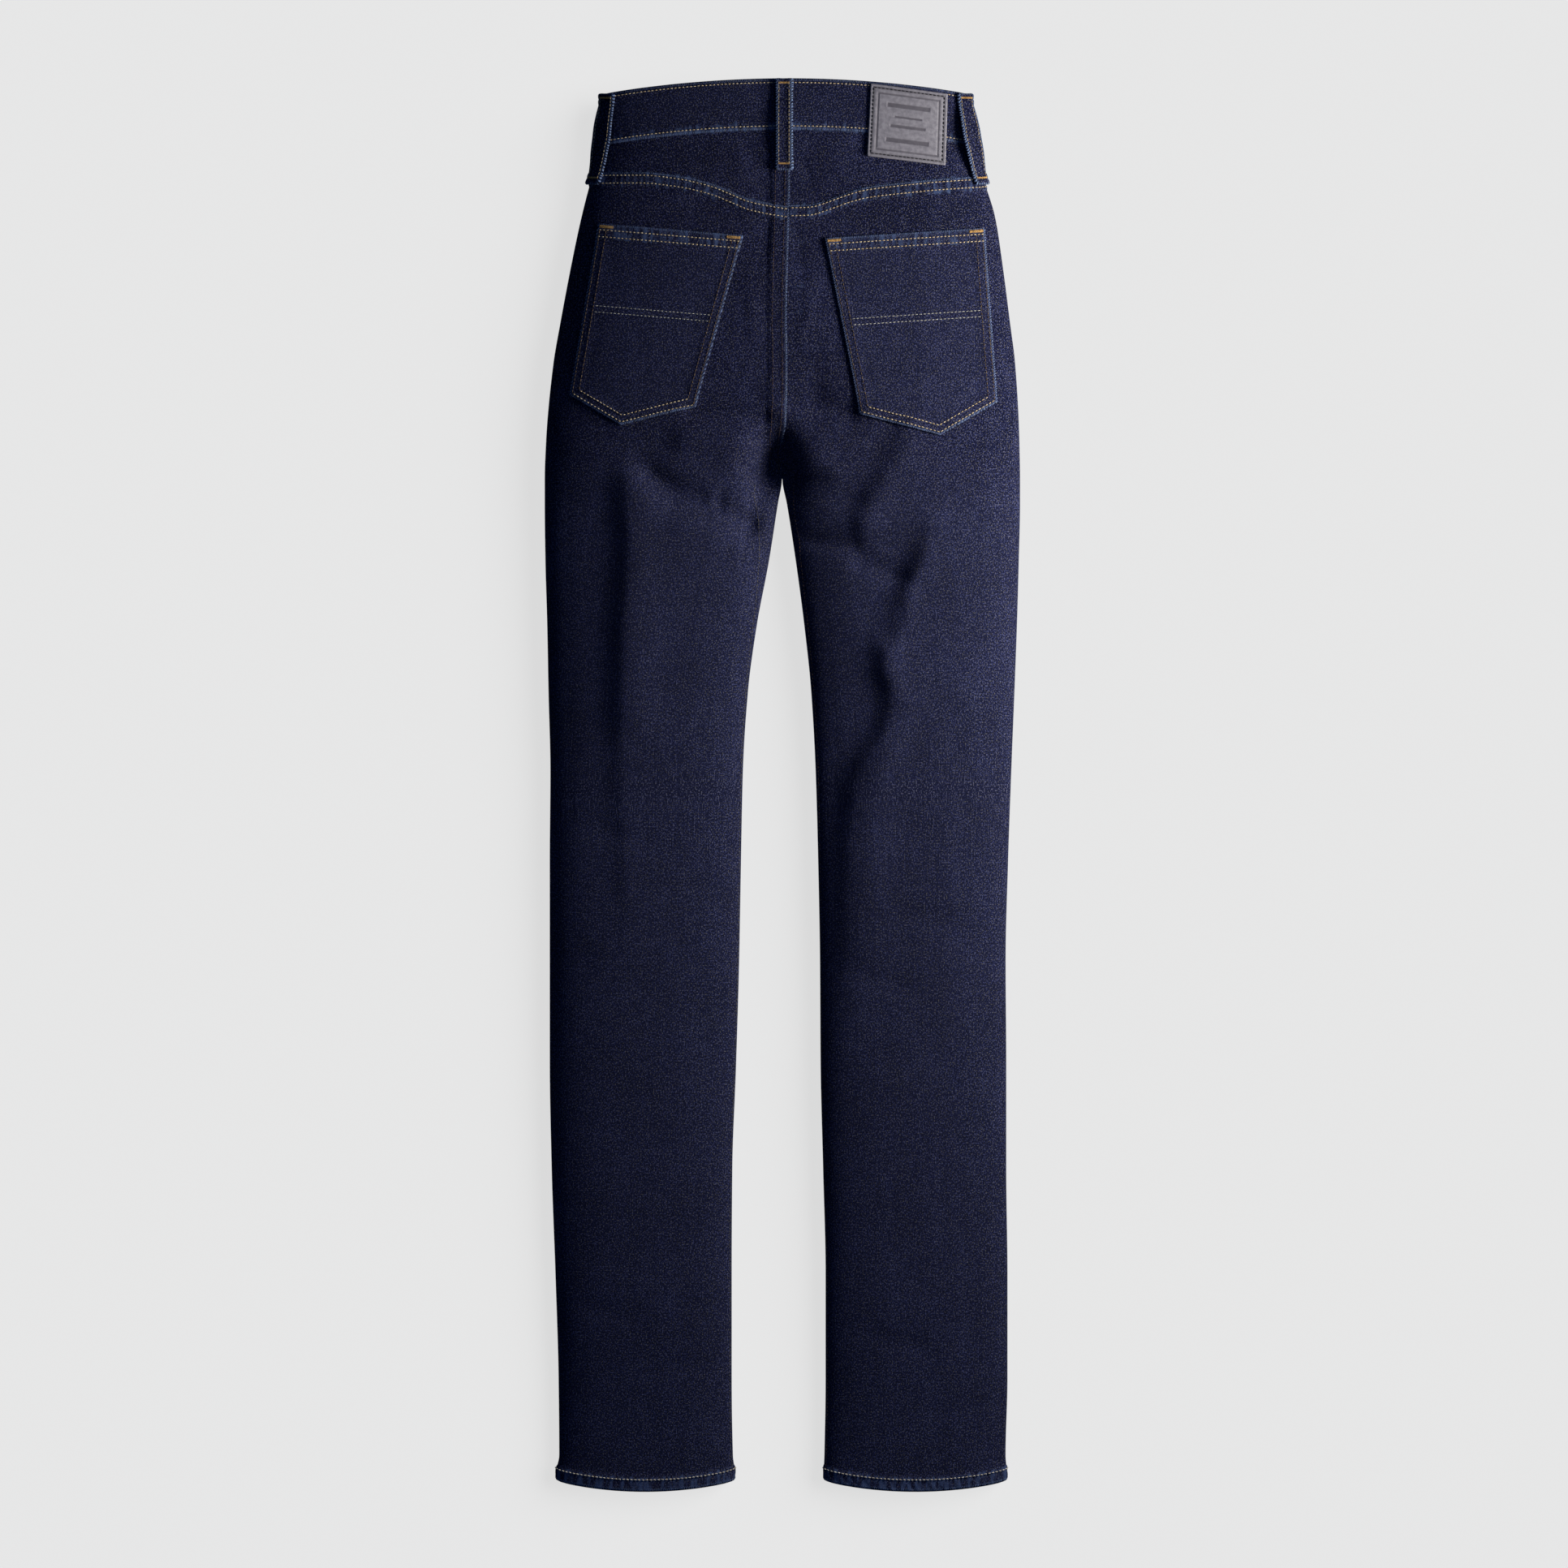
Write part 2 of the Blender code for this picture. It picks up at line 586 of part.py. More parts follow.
def front_leg(name, half):
    """From the waistband and the pocket mouth to the hem. Below the crotch it goes on round the
    inner edge of the leg to the inseam, which lies on top; that strip runs up to the junction."""
    at_top = rows_of_front(half, BAND_FOOT_LEVEL)
    across = np.clip((at_top - at_top[0]) / MOUTH_WIDTH, 0.0, 1.0)
    top = band_edge(half, at_top) - BAND_HEIGHT - 0.5 * SEAM_GAP
    top = top - MOUTH_DROP * np.sqrt(1.0 - across * across)
    below = LEG_ROWS[LEG_ROWS < MOUTH_FOOT_LEVEL]
    rows = [top + (below[0] - top) * share for share in (0.0, 0.3, 0.65)]
    rows += [np.full_like(top, level) for level in below]
    rows += hem_rows(half, rows_of_front(half, HEM_SIDE))
    level = np.array(rows)
    distance = np.array([[rows_of_front(half, y)[k] for k, y in enumerate(row)] for row in level])

    strip_first = int(np.argmin(np.abs(level[:, -1] - JUNCTION)))
    crotch_row = int(np.argmin(np.abs(level[:, -1] - CROTCH)))
    strip_level = level[strip_first:, -1:].repeat(3, axis=1)
    strip_level[0] = JUNCTION - 1.0
    whole = half.round_length(strip_level)
    width = inseam(half, strip_level) - 0.5 * SEAM_GAP - FORK_CLEAR * (strip_level > CROTCH + 5.0)
    width = width * np.array([0.0, 0.5, 1.0])
    strip = np.where(strip_level > CROTCH, 0.0, whole) + width
    strip_level[-3:] = hem_rows(half, width[-1])

    all_level = np.concatenate((level.ravel(), strip_level.ravel()))
    all_distance = np.concatenate((distance.ravel(), strip.ravel()))
    points, normals = half.at(all_distance, all_level)
    on_strip = np.arange(len(all_level)) >= level.size
    pushed = np.where(on_strip, 0.0, tuck(half, all_distance, all_level, FLY_TUCK, TUCK_FOOT))
    thick = np.concatenate((leg_thickness(level).ravel(), leg_thickness(strip_level).ravel()))
    outside = points - normals * pushed[:, None]
    inside = outside - normals * thick[:, None]
    seam_level = np.where(near_centre(half, all_distance, all_level), all_level, CROTCH)
    tip_in(inside, outside, half, seam_level)

    index = np.arange(level.size).reshape(level.shape)
    strip_index = level.size + np.arange(strip_level.size).reshape(strip_level.shape)
    strip_index[crotch_row - strip_first:, 0] = index[crotch_row:, -1]
    faces = cells(index) + cells(strip_index)
    used = sorted({k for face in faces for k in face})
    renumber = {k: n for n, k in enumerate(used)}
    faces = [[renumber[k] for k in face] for face in faces]
    return wall(name, outside[used], inside[used], faces, DENIM)


def near_centre(half, distance, level):
    """Points on the centre seam itself, where two halves meet face to face."""
    at_back = distance < 0.01
    at_front = np.abs(distance - half.round_length(level)) < 0.01
    return at_back | at_front


def pocket_facing(name, half):
    """Denim behind the pocket mouth, one wall further in than the front leg."""
    offsets = np.array(MOUTH_COLUMNS + [MOUTH_WIDTH + FACING_UNDER - 2.0])
    at_top = outseam(half, BAND_FOOT_LEVEL) + 0.5 * SEAM_GAP + offsets
    across = offsets / (MOUTH_WIDTH + FACING_UNDER)
    top = band_edge(half, at_top) - BAND_HEIGHT - 0.5 * SEAM_GAP
    foot = top - (MOUTH_DROP + FACING_UNDER) * np.sqrt(1.0 - across * across)
    shares_down = (0.0, 0.08, 0.16, 0.25, 0.4, 0.6, 0.8, 1.0)
    level = np.array([top + (foot - top) * share for share in shares_down])
    distance = outseam(half, level) + 0.5 * SEAM_GAP + offsets
    points, normals = half.at(distance, level)
    pushed = tuck(half, distance, level, FLY_TUCK, TUCK_FOOT)
    outside = points - normals * (WALL + SEAM_GAP + pushed[..., None])
    inside = outside - normals * FACING_WALL
    index = np.arange(level.size).reshape(level.shape)
    return wall(name, outside.reshape(-1, 3), inside.reshape(-1, 3), cells(index), DENIM_LIGHT)


def waistband(name):
    """One folded strip from the left end, round the back, to the right end under it."""
    outside = []
    inside = []
    for half in (LEFT, RIGHT):
        back = rows_of_back(half, BAND_LEVEL)
        front = rows_of_front(half, BAND_LEVEL)
        if half.side > 0:
            front = np.concatenate((front, front[-1] + UNDERLAP * np.array([0.25, 0.5, 1.0])))
        closing = half.round_length(BAND_LEVEL) - np.array([TUCK_WIDTH, TUCK_FLAT])
        front = np.sort(np.concatenate((front, closing)))
        at = np.concatenate((back, front))
        edge = band_edge(half, at)
        level = np.array([edge - BAND_HEIGHT + 0.5 * SEAM_GAP, edge - 0.5 * BAND_HEIGHT, edge])
        shift = half.round_length(level) - half.round_length(BAND_LEVEL)
        side_shift = half.to_side(level) - half.to_side(BAND_LEVEL)
        distance = at + np.where(at > half.to_side(BAND_LEVEL) + BAND_TURN, shift, side_shift)
        points, normals = half.at(distance, level)
        pushed = tuck(half, distance, level, BAND_TUCK, TUCK_FOOT)
        outer = points + normals * (BAND_RAISE - pushed[..., None])
        inner = points - normals * (WALL + pushed[..., None])
        if half.side < 0:
            outside.append(outer[:, ::-1])
            inside.append(inner[:, ::-1])
        else:
            outside.append(outer[:, 1:])
            inside.append(inner[:, 1:])
    outer = np.concatenate(outside, axis=1)
    inner = np.concatenate(inside, axis=1)
    index = np.arange(outer.shape[0] * outer.shape[1]).reshape(outer.shape[:2])
    return wall(name, outer.reshape(-1, 3), inner.reshape(-1, 3), cells(index), DENIM)


def back_pocket(name, outline, half, panel):
    """A patch pocket: the panel's own faces, cut to the outline, moved out and given a wall."""
    _, panel_points, panel_index = panel
    bm = bmesh.new()
    corners = [bm.verts.new(point) for point in panel_points.reshape(-1, 3)]
    for face in cells(panel_index[:, 2:-1]):
        bm.faces.new([corners[k] for k in face])
    bmesh.ops.delete(bm, geom=[v for v in bm.verts if not v.link_faces], context="VERTS")
    for (x0, y0), (x1, y1) in zip(outline, outline[1:] + outline[:1]):
        bmesh.ops.bisect_plane(
            bm, geom=bm.verts[:] + bm.edges[:] + bm.faces[:], dist=1e-6,
            plane_co=(x0, y0, 0.0), plane_no=(y1 - y0, x0 - x1, 0.0), clear_outer=True,
        )
    bmesh.ops.remove_doubles(bm, verts=bm.verts, dist=SLIVER)
    bm.verts.index_update()
    points = np.array([vert.co[:] for vert in bm.verts])
    faces = [[vert.index for vert in face.verts] for face in bm.faces]
    bm.free()
    normals = from_above(points[:, 0], points[:, 1])[1]
    inside = points + normals * LAID_CLEAR
    outside = inside + normals * POCKET_WALL
    return wall(name, outside, inside, faces, DENIM_LIGHT)


def waist_patch(name):
    """A leather patch over the waistband, its lower third hanging over the yoke."""
    down, over = np.meshgrid(np.linspace(0.0, 1.0, 6), np.linspace(0.0, 1.0, 6), indexing="ij")
    (x0, y0), (x1, y1), (x2, y2), (x3, y3) = PATCH
    x = (x0 * (1.0 - over) + x1 * over) * (1.0 - down) + (x3 * (1.0 - over) + x2 * over) * down
    y = (y0 * (1.0 - over) + y1 * over) * (1.0 - down) + (y3 * (1.0 - over) + y2 * over) * down
    points, normals = from_above(x, y)
    inside = points + normals * (BAND_RAISE + LAID_CLEAR)
    outside = inside + normals * PATCH_WALL
    index = np.arange(x.size).reshape(x.shape)
    return wall(name, outside.reshape(-1, 3), inside.reshape(-1, 3), cells(index), LEATHER)


def belt_loop(name, place, top, arch, under_foot):
    """A strip tacked down on the waistband above and on the cloth below, arched between.
    under_foot is how far the cloth under its lower end stands proud of the skin."""
    run = LOOP_LENGTH
    arched = np.linspace(LOOP_TACK, run - LOOP_TACK, 7)
    stops = np.concatenate(([0.0], arched, [run]))
    bulge = np.sin(np.pi * np.clip((stops - LOOP_TACK) / (run - 2.0 * LOOP_TACK), 0.0, 1.0))
    step = BAND_RAISE + (under_foot - BAND_RAISE) * ease((stops - BAND_HEIGHT) / (run - BAND_HEIGHT))
    stand = step + LAID_CLEAR + arch * bulge
    over = np.array([-0.5, 0.0, 0.5]) * LOOP_WIDTH
    level = top - stops[:, None] + np.zeros_like(over)
    points, normals = place(over + np.zeros_like(level), level)
    at_end = np.abs(stops - 0.5 * run) > 0.5 * run - LOOP_TACK - 0.1
    thick = np.where(at_end, LOOP_END_WALL, LOOP_WALL)
    inside = points + normals * stand[:, None, None]
    outside = inside + normals * thick[:, None, None]
    index = np.arange(level.size).reshape(level.shape)
    return wall(name, outside.reshape(-1, 3), inside.reshape(-1, 3), cells(index), DENIM)


def side_loop(name, half):
    def place(over, level):
        return half.at(half.to_side(level) - SIDE_LOOP_ROUND + over, level)

    top = float(band_edge(half, half.to_side(BAND_LEVEL) - SIDE_LOOP_ROUND)) - 0.5
    return belt_loop(name, place, top, ARCH_SIDE, LAP_RAISE)


def front_loop(name, half):
    def place(over, level):
        return half.at(half.round_length(level) - FRONT_LOOP_PLACE + over, level)

    top = float(band_edge(half, half.round_length(BAND_LEVEL) - FRONT_LOOP_PLACE)) - 0.5
    return belt_loop(name, place, top, ARCH_FRONT, 0.0)


def back_loop(name):
    def place(over, level):
        return from_above(BACK_LOOP_X + over, level)

    return belt_loop(name, place, BAND_TOP - 0.5, ARCH_BACK, LAP_RAISE)


def waist_button(name):
    """A turned cap whose face is down, just off the waistband's left end."""
    seat = along(PROFILE, 3, BUTTON_PLACE[1]) - BAND_RAISE - SEAM_GAP
    foot = seat - BUTTON_THICK
    profile = (
        (0.0, seat), (BUTTON_RADIUS - BUTTON_ROUND, seat), (BUTTON_RADIUS, seat - BUTTON_ROUND),
        (BUTTON_RADIUS, foot + BUTTON_ROUND), (BUTTON_RADIUS - BUTTON_ROUND, foot), (0.0, foot),
    )
    bm = bmesh.new()
    line = [bm.verts.new((BUTTON_PLACE[0] + r, BUTTON_PLACE[1], z)) for r, z in profile]
    edges = [bm.edges.new(pair) for pair in zip(line, line[1:])]
    bmesh.ops.spin(
        bm, geom=line + edges, cent=(*BUTTON_PLACE, 0.0), axis=(0.0, 0.0, 1.0),
        angle=2.0 * np.pi, steps=24, use_merge=True,
    )
    bmesh.ops.remove_doubles(bm, verts=bm.verts, dist=0.01)
    bm.verts.index_update()
    points = [vert.co[:] for vert in bm.verts]
    faces = [[vert.index for vert in face.verts] for face in bm.faces]
    bm.free()
    return make_piece(name, points, faces, COPPER)


for old in list(bpy.data.objects):
    bpy.data.objects.remove(old, do_unlink=True)

for word, half, outline in (("left", LEFT, POCKET_LEFT), ("right", RIGHT, POCKET_RIGHT)):
    panel = back_leg(f"back_leg_{word}", half)
    back_pocket(f"back_pocket_{word}", outline, half, panel)
    yoke(f"yoke_{word}", half)
    front_leg(f"front_leg_{word}", half)
    pocket_facing(f"front_pocket_facing_{word}", half)
    side_loop(f"belt_loop_side_{word}", half)
    front_loop(f"belt_loop_front_{word}", half)

waistband("waistband")
back_loop("belt_loop_centre_back")
waist_patch("waist_patch")
waist_button("waist_button")
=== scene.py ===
"""Slim-cut denim jeans, laid flat with the back up and lightly filled out: how they look.

Sizes are in millimetres and are turned into metres when a mesh is made. +X is to the right
and +Y runs to the waist when the back is seen from above, +Z is up, and the front of the
garment lies on Z = 0. Left and right are the wearer's, as they are when the back is seen.
"""

import bpy
import numpy as np
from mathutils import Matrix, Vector


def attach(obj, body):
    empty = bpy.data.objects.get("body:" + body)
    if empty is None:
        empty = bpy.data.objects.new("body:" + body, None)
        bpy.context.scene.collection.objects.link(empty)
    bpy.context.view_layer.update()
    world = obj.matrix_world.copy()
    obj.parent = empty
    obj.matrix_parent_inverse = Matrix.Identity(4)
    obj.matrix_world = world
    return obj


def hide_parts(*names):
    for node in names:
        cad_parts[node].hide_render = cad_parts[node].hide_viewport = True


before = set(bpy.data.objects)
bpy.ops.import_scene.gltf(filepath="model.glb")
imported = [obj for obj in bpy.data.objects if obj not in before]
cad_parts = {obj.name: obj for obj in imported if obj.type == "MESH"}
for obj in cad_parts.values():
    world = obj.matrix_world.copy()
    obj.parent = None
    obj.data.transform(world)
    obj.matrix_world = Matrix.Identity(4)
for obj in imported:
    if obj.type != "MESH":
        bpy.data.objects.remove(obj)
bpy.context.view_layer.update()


# The two back legs. Each is one panel of rinsed indigo twill, cut from the yoke to the
# hem. The upper edge is folded over the yoke's and felled with two rows, the left one is
# felled over the right at the centre back, and the foot is turned up twice and stitched.
MM = 0.001
WALL = 1.5                     # one layer of denim
SEAM_GAP = 0.3                 # clear space between two sewn pieces
HALF_GAP = 0.5 * SEAM_GAP      # by which each piece's edge stays off the seam
LAP_RAISE = 0.8                # a felled seam or folded edge stands this much proud
LAP_DEPTH = 9.5                # over this depth below the yoke seam
FELL_WIDTH = 13.5              # and over this width beside the centre back seam
STEP = 1.5                     # length of the slope down from such a raised edge
HEM_WALL = 2.5                 # the turned hem, three layers pressed flat
HEM_DEPTH = 9.0
YARN = 0.37                    # from one warp yarn to the next
PICK = 0.55                    # from one weft yarn to the next
TWILL_RUN = 4                  # yarns and picks to one twill line, a three-by-one twill

# The garment seen from above: level, left outer, left inner, right inner, right outer.
# Above the crotch both inner edges are the centre seam.
OUTLINE = (
    (572.0, -143.5, 5.5, 5.5, 148.5),
    (521.0, -144.0, 5.5, 5.5, 151.0),
    (502.0, -147.5, 5.5, 5.5, 155.5),
    (484.0, -153.5, 5.5, 5.5, 161.5),
    (455.0, -161.0, 5.0, 5.0, 170.5),
    (420.0, -168.5, 4.0, 4.0, 176.0),
    (370.0, -178.0, 3.0, 3.0, 182.5),
    (338.0, -183.5, 3.5, 3.5, 186.5),
    (290.0, -188.5, 2.5, 2.5, 189.5),
    (274.0, -189.5, 0.0, 0.0, 190.0),
    (245.0, -190.5, -0.2, -0.2, 190.5),
    (225.0, -190.5, -3.5, 3.5, 190.5),
    (180.0, -190.0, -10.5, 10.5, 189.5),
    (127.0, -188.5, -20.5, 17.5, 188.0),
    (74.0, -187.5, -27.5, 23.0, 186.0),
    (11.0, -186.0, -31.5, 26.5, 183.5),
    (-60.0, -186.5, -33.0, 28.5, 181.0),
    (-141.0, -186.5, -34.5, 30.0, 179.0),
    (-225.0, -186.5, -37.0, 30.5, 179.5),
    (-308.0, -185.0, -40.0, 32.5, 179.5),
    (-392.0, -182.0, -40.5, 34.5, 180.5),
    (-476.0, -179.5, -40.5, 34.5, 180.5),
    (-538.0, -179.0, -39.5, 33.5, 179.0),
    (-551.0, -181.5, -38.0, 33.0, 180.0),
    (-572.0, -181.0, -39.0, 33.5, 180.0),
)
CROTCH = 245.0                 # level at which the legs part
SEAT_BLEND = 130.0             # above the crotch, the two crowns join over this length

# Seen from the side: level, crown height, height of the side edge, lift off the floor.
PROFILE = (
    (572.0, 36.0, 17.0, 4.6),
    (520.0, 40.0, 18.0, 4.6),
    (498.0, 42.0, 18.5, 4.6),
    (465.0, 45.0, 19.5, 3.6),
    (430.0, 47.0, 20.0, 0.8),
    (400.0, 47.5, 20.0, 0.0),
    (340.0, 48.0, 20.0, 0.0),
    (245.0, 44.0, 19.0, 0.0),
    (150.0, 41.0, 17.5, 0.0),
    (0.0, 36.0, 15.5, 0.0),
    (-200.0, 31.0, 13.5, 0.0),
    (-400.0, 27.0, 12.0, 0.0),
    (-530.0, 24.0, 11.0, 0.0),
    (-572.0, 24.0, 11.0, 0.0),
)
CROWN_SPREAD = 2.3             # exponents of the crown's curve
CROWN_RISE = 2.2
FLOOR_ROUND = 1.4              # the floor edge rounds over this many side heights

# The folds on top: from x, y to x, y, half width, height (a trough is negative).
FOLDS = (
    (-8.0, 270.0, -5.0, 244.0, 16.0, -13.0),      # hollow at the crotch
    (-76.0, 276.0, -24.0, 272.0, 12.0, 3.6),      # roll under the left pocket
    (-72.0, 298.0, -14.0, 294.0, 7.0, -3.2),      # crease above that roll
    (-104.0, 246.0, -50.0, 226.0, 9.0, -3.6),     # crease across the left thigh
    (-50.0, 226.0, -26.0, 208.0, 7.0, -3.0),
    (-118.0, 232.0, -122.0, 60.0, 20.0, 2.4),     # long ridge down the left thigh
    (12.0, 306.0, 52.0, 298.0, 11.0, -4.0),       # hollow inside the right pocket
    (100.0, 282.0, 66.0, 212.0, 13.0, 3.0),       # ridge from the right pocket's point
    (66.0, 206.0, 122.0, 212.0, 9.0, 2.2),
    (16.0, 196.0, 56.0, 190.0, 7.0, -2.8),
    (66.0, 178.0, 112.0, 160.0, 9.0, -3.2),       # crease across the right thigh
    (112.0, 182.0, 80.0, 110.0, 12.0, 2.8),       # ridge that wanders down the right leg
    (80.0, 110.0, 96.0, 66.0, 11.0, 2.8),
    (96.0, 66.0, 70.0, -14.0, 13.0, 2.2),
    (70.0, -14.0, 64.0, -130.0, 16.0, 1.4),
    (-55.0, 228.0, -45.0, 222.0, 7.0, 2.8),       # where two of these meet they don't add up
    (-46.0, 225.0, -45.0, 222.0, 5.0, 0.8),
    (104.0, 163.0, 116.0, 159.0, 8.0, 1.8),
    (82.0, 114.0, 80.0, 106.0, 10.0, -2.4),
    (95.0, 70.0, 95.0, 62.0, 10.0, -2.2),
    (71.0, -8.0, 70.0, -20.0, 12.0, -1.4),
)
# Finer creases on the same cloth, in the same columns. These fade out at both ends.
CREASES = (
    (-9.0, 284.0, -5.0, 226.0, 14.0, -6.0),       # the crotch sinks in
    (-15.0, 272.0, -27.0, 186.0, 12.0, -6.0),     # and with it the left thigh's inner side
    (-122.0, 268.0, -76.0, 214.0, 10.0, -2.6),    # creases across the left thigh
    (-106.0, 238.0, -24.0, 206.0, 10.0, -2.4),
    (-96.0, 212.0, -44.0, 190.0, 11.0, 1.1),
    (-72.0, 304.0, -12.0, 315.0, 8.0, -1.3),
    (-46.0, 270.0, -24.0, 220.0, 9.0, 1.3),
    (98.0, 294.0, 46.0, 210.0, 14.0, -2.0),       # beside the ridge from the pocket's point
    (58.0, 192.0, 124.0, 178.0, 9.0, -0.8),
    (10.0, 240.0, 68.0, 230.0, 8.0, -1.4),
    (16.0, 270.0, 52.0, 244.0, 9.0, 1.3),
    (22.0, 338.0, 32.0, 288.0, 10.0, -1.8),
    (-32.0, 514.0, -8.0, 488.0, 4.5, -0.9),       # puckers on the yokes beside the seam
    (-26.0, 490.0, -7.0, 466.0, 4.0, -0.8),
    (-38.0, 502.0, -22.0, 480.0, 5.0, 0.6),
    (12.0, 506.0, 26.0, 474.0, 4.5, -0.9),
    (28.0, 508.0, 48.0, 488.0, 7.0, 0.7),
    (-10.0, 458.0, -18.0, 412.0, 5.0, -0.8),      # and on the seat beside it
    (-28.0, 410.0, -20.0, 344.0, 6.0, 0.9),
    (12.0, 448.0, 16.0, 392.0, 5.0, -0.8),
    (24.0, 404.0, 16.0, 344.0, 6.0, 0.9),
    (-164.0, -34.0, -84.0, -52.0, 9.0, -1.1),     # the backs of the knees
    (-120.0, -90.0, -50.0, -78.0, 8.0, -1.0),
    (-156.0, -134.0, -96.0, -122.0, 10.0, 0.8),
    (52.0, -50.0, 128.0, -34.0, 8.0, -1.0),
    (86.0, -102.0, 160.0, -116.0, 9.0, -1.1),
    (50.0, -150.0, 104.0, -162.0, 8.0, -0.8),
    (-168.0, -416.0, -104.0, -432.0, 9.0, -0.8),  # the ankles
    (-112.0, -472.0, -52.0, -460.0, 8.0, -0.7),
    (58.0, -438.0, 126.0, -454.0, 9.0, -0.9),
    (104.0, -508.0, 166.0, -496.0, 8.0, -0.7),
)
# A line down each leg where the cloth breaks: level, x, how far it drops on the left of it.
LEFT_BREAK = (
    (266.0, -120.0, 0.0),
    (240.0, -123.0, 3.6),
    (190.0, -120.0, 4.8),
    (120.0, -125.0, 4.5),
    (40.0, -126.0, 3.6),
    (-60.0, -123.0, 2.1),
    (-170.0, -120.0, 0.0),
)
RIGHT_BREAK = (
    (238.0, 116.0, 0.0),
    (209.0, 121.0, 3.0),
    (188.0, 120.0, 5.1),
    (159.0, 107.0, 5.4),
    (126.0, 102.0, 5.7),
    (105.0, 88.0, 5.1),
    (92.0, 84.0, 4.8),
    (74.0, 90.0, 4.8),
    (46.0, 86.0, 5.1),
    (17.0, 67.0, 5.1),
    (-20.0, 58.0, 4.2),
    (-62.0, 55.0, 3.0),
    (-150.0, 52.0, 1.35),
    (-250.0, 50.0, 0.0),
)
BREAK_FALL = 13.0              # the drop is nearly whole this far from the line
BREAK_CLIMB = 120.0            # and fades over this length
# Creases on the floor side, where the cloth lifts off the floor.
FRONT_CREASES = (
    (16.0, 338.0, 92.0, 366.0, 6.0, 1.5),         # whiskers from the fly
    (18.0, 314.0, 104.0, 330.0, 7.0, 1.8),
    (20.0, 286.0, 88.0, 290.0, 6.0, 1.3),
    (-14.0, 342.0, -86.0, 372.0, 6.0, 1.4),
    (-16.0, 310.0, -108.0, 322.0, 7.0, 1.7),
    (-24.0, 284.0, -82.0, 276.0, 6.0, 1.2),
    (-148.0, -30.0, -76.0, -42.0, 8.0, 1.0),      # the knees
    (-128.0, -92.0, -66.0, -84.0, 7.0, 0.9),
    (70.0, -38.0, 140.0, -26.0, 8.0, 1.0),
    (64.0, -98.0, 126.0, -106.0, 7.0, 0.9),
    (-150.0, -452.0, -96.0, -440.0, 8.0, 0.8),
    (84.0, -462.0, 146.0, -474.0, 8.0, 0.8),
)
SKIN_LEVELS = np.arange(-571.0, 573.1, 2.0)
SKIN_SHARES = np.linspace(0.0, 1.0, 641)


def ease(value):
    """A smooth step from 0 to 1: three squares less two cubes of the clipped value."""
    value = np.clip(value, 0.0, 1.0)
    return value * value * (3.0 - 2.0 * value)


def along(table, column, place):
    """A cubic through one column of a table, its slopes the harmonic mean of the steps'."""
    rows = np.array(sorted(table))
    stops = rows[:, 0]
    values = rows[:, column]
    step = np.diff(stops)
    slope = np.diff(values) / step
    before = slope[:-1]
    after = slope[1:]
    total = np.where(before * after > 0.0, before + after, 1.0)
    middle = np.where(before * after > 0.0, 2.0 * before * after / total, 0.0)
    tangent = np.concatenate((slope[:1], middle, slope[-1:]))
    place = np.clip(place, stops[0], stops[-1])
    i = np.clip(np.searchsorted(stops, place, side="right") - 1, 0, len(step) - 1)
    u = (place - stops[i]) / step[i]
    rise = values[i] * (1.0 + 2.0 * u) * (1.0 - u) ** 2 + values[i + 1] * u * u * (3.0 - 2.0 * u)
    lean = tangent[i] * u * (1.0 - u) ** 2 - tangent[i + 1] * u * u * (1.0 - u)
    return rise + step[i] * lean


def fold_height(x, y, folds, tapered=False):
    """Sum over the folds of height times e to the minus square of (distance / half width). A
    tapered one is also times 1 - |2 u - 1|^3, where u is the share of its length."""
    total = np.zeros(np.broadcast(x, y).shape)
    for x0, y0, x1, y1, half_width, height in folds:
        run = np.hypot(x1 - x0, y1 - y0)
        ux = (x1 - x0) / run
        uy = (y1 - y0) / run
        passed = np.clip((x - x0) * ux + (y - y0) * uy, 0.0, run)
        away = np.hypot(x - x0 - passed * ux, y - y0 - passed * uy)
        fade = 1.0 - np.abs(2.0 * passed / run - 1.0) ** 3 if tapered else 1.0
        total = total + fade * height * np.exp(-(away / half_width) ** 2)
    return total


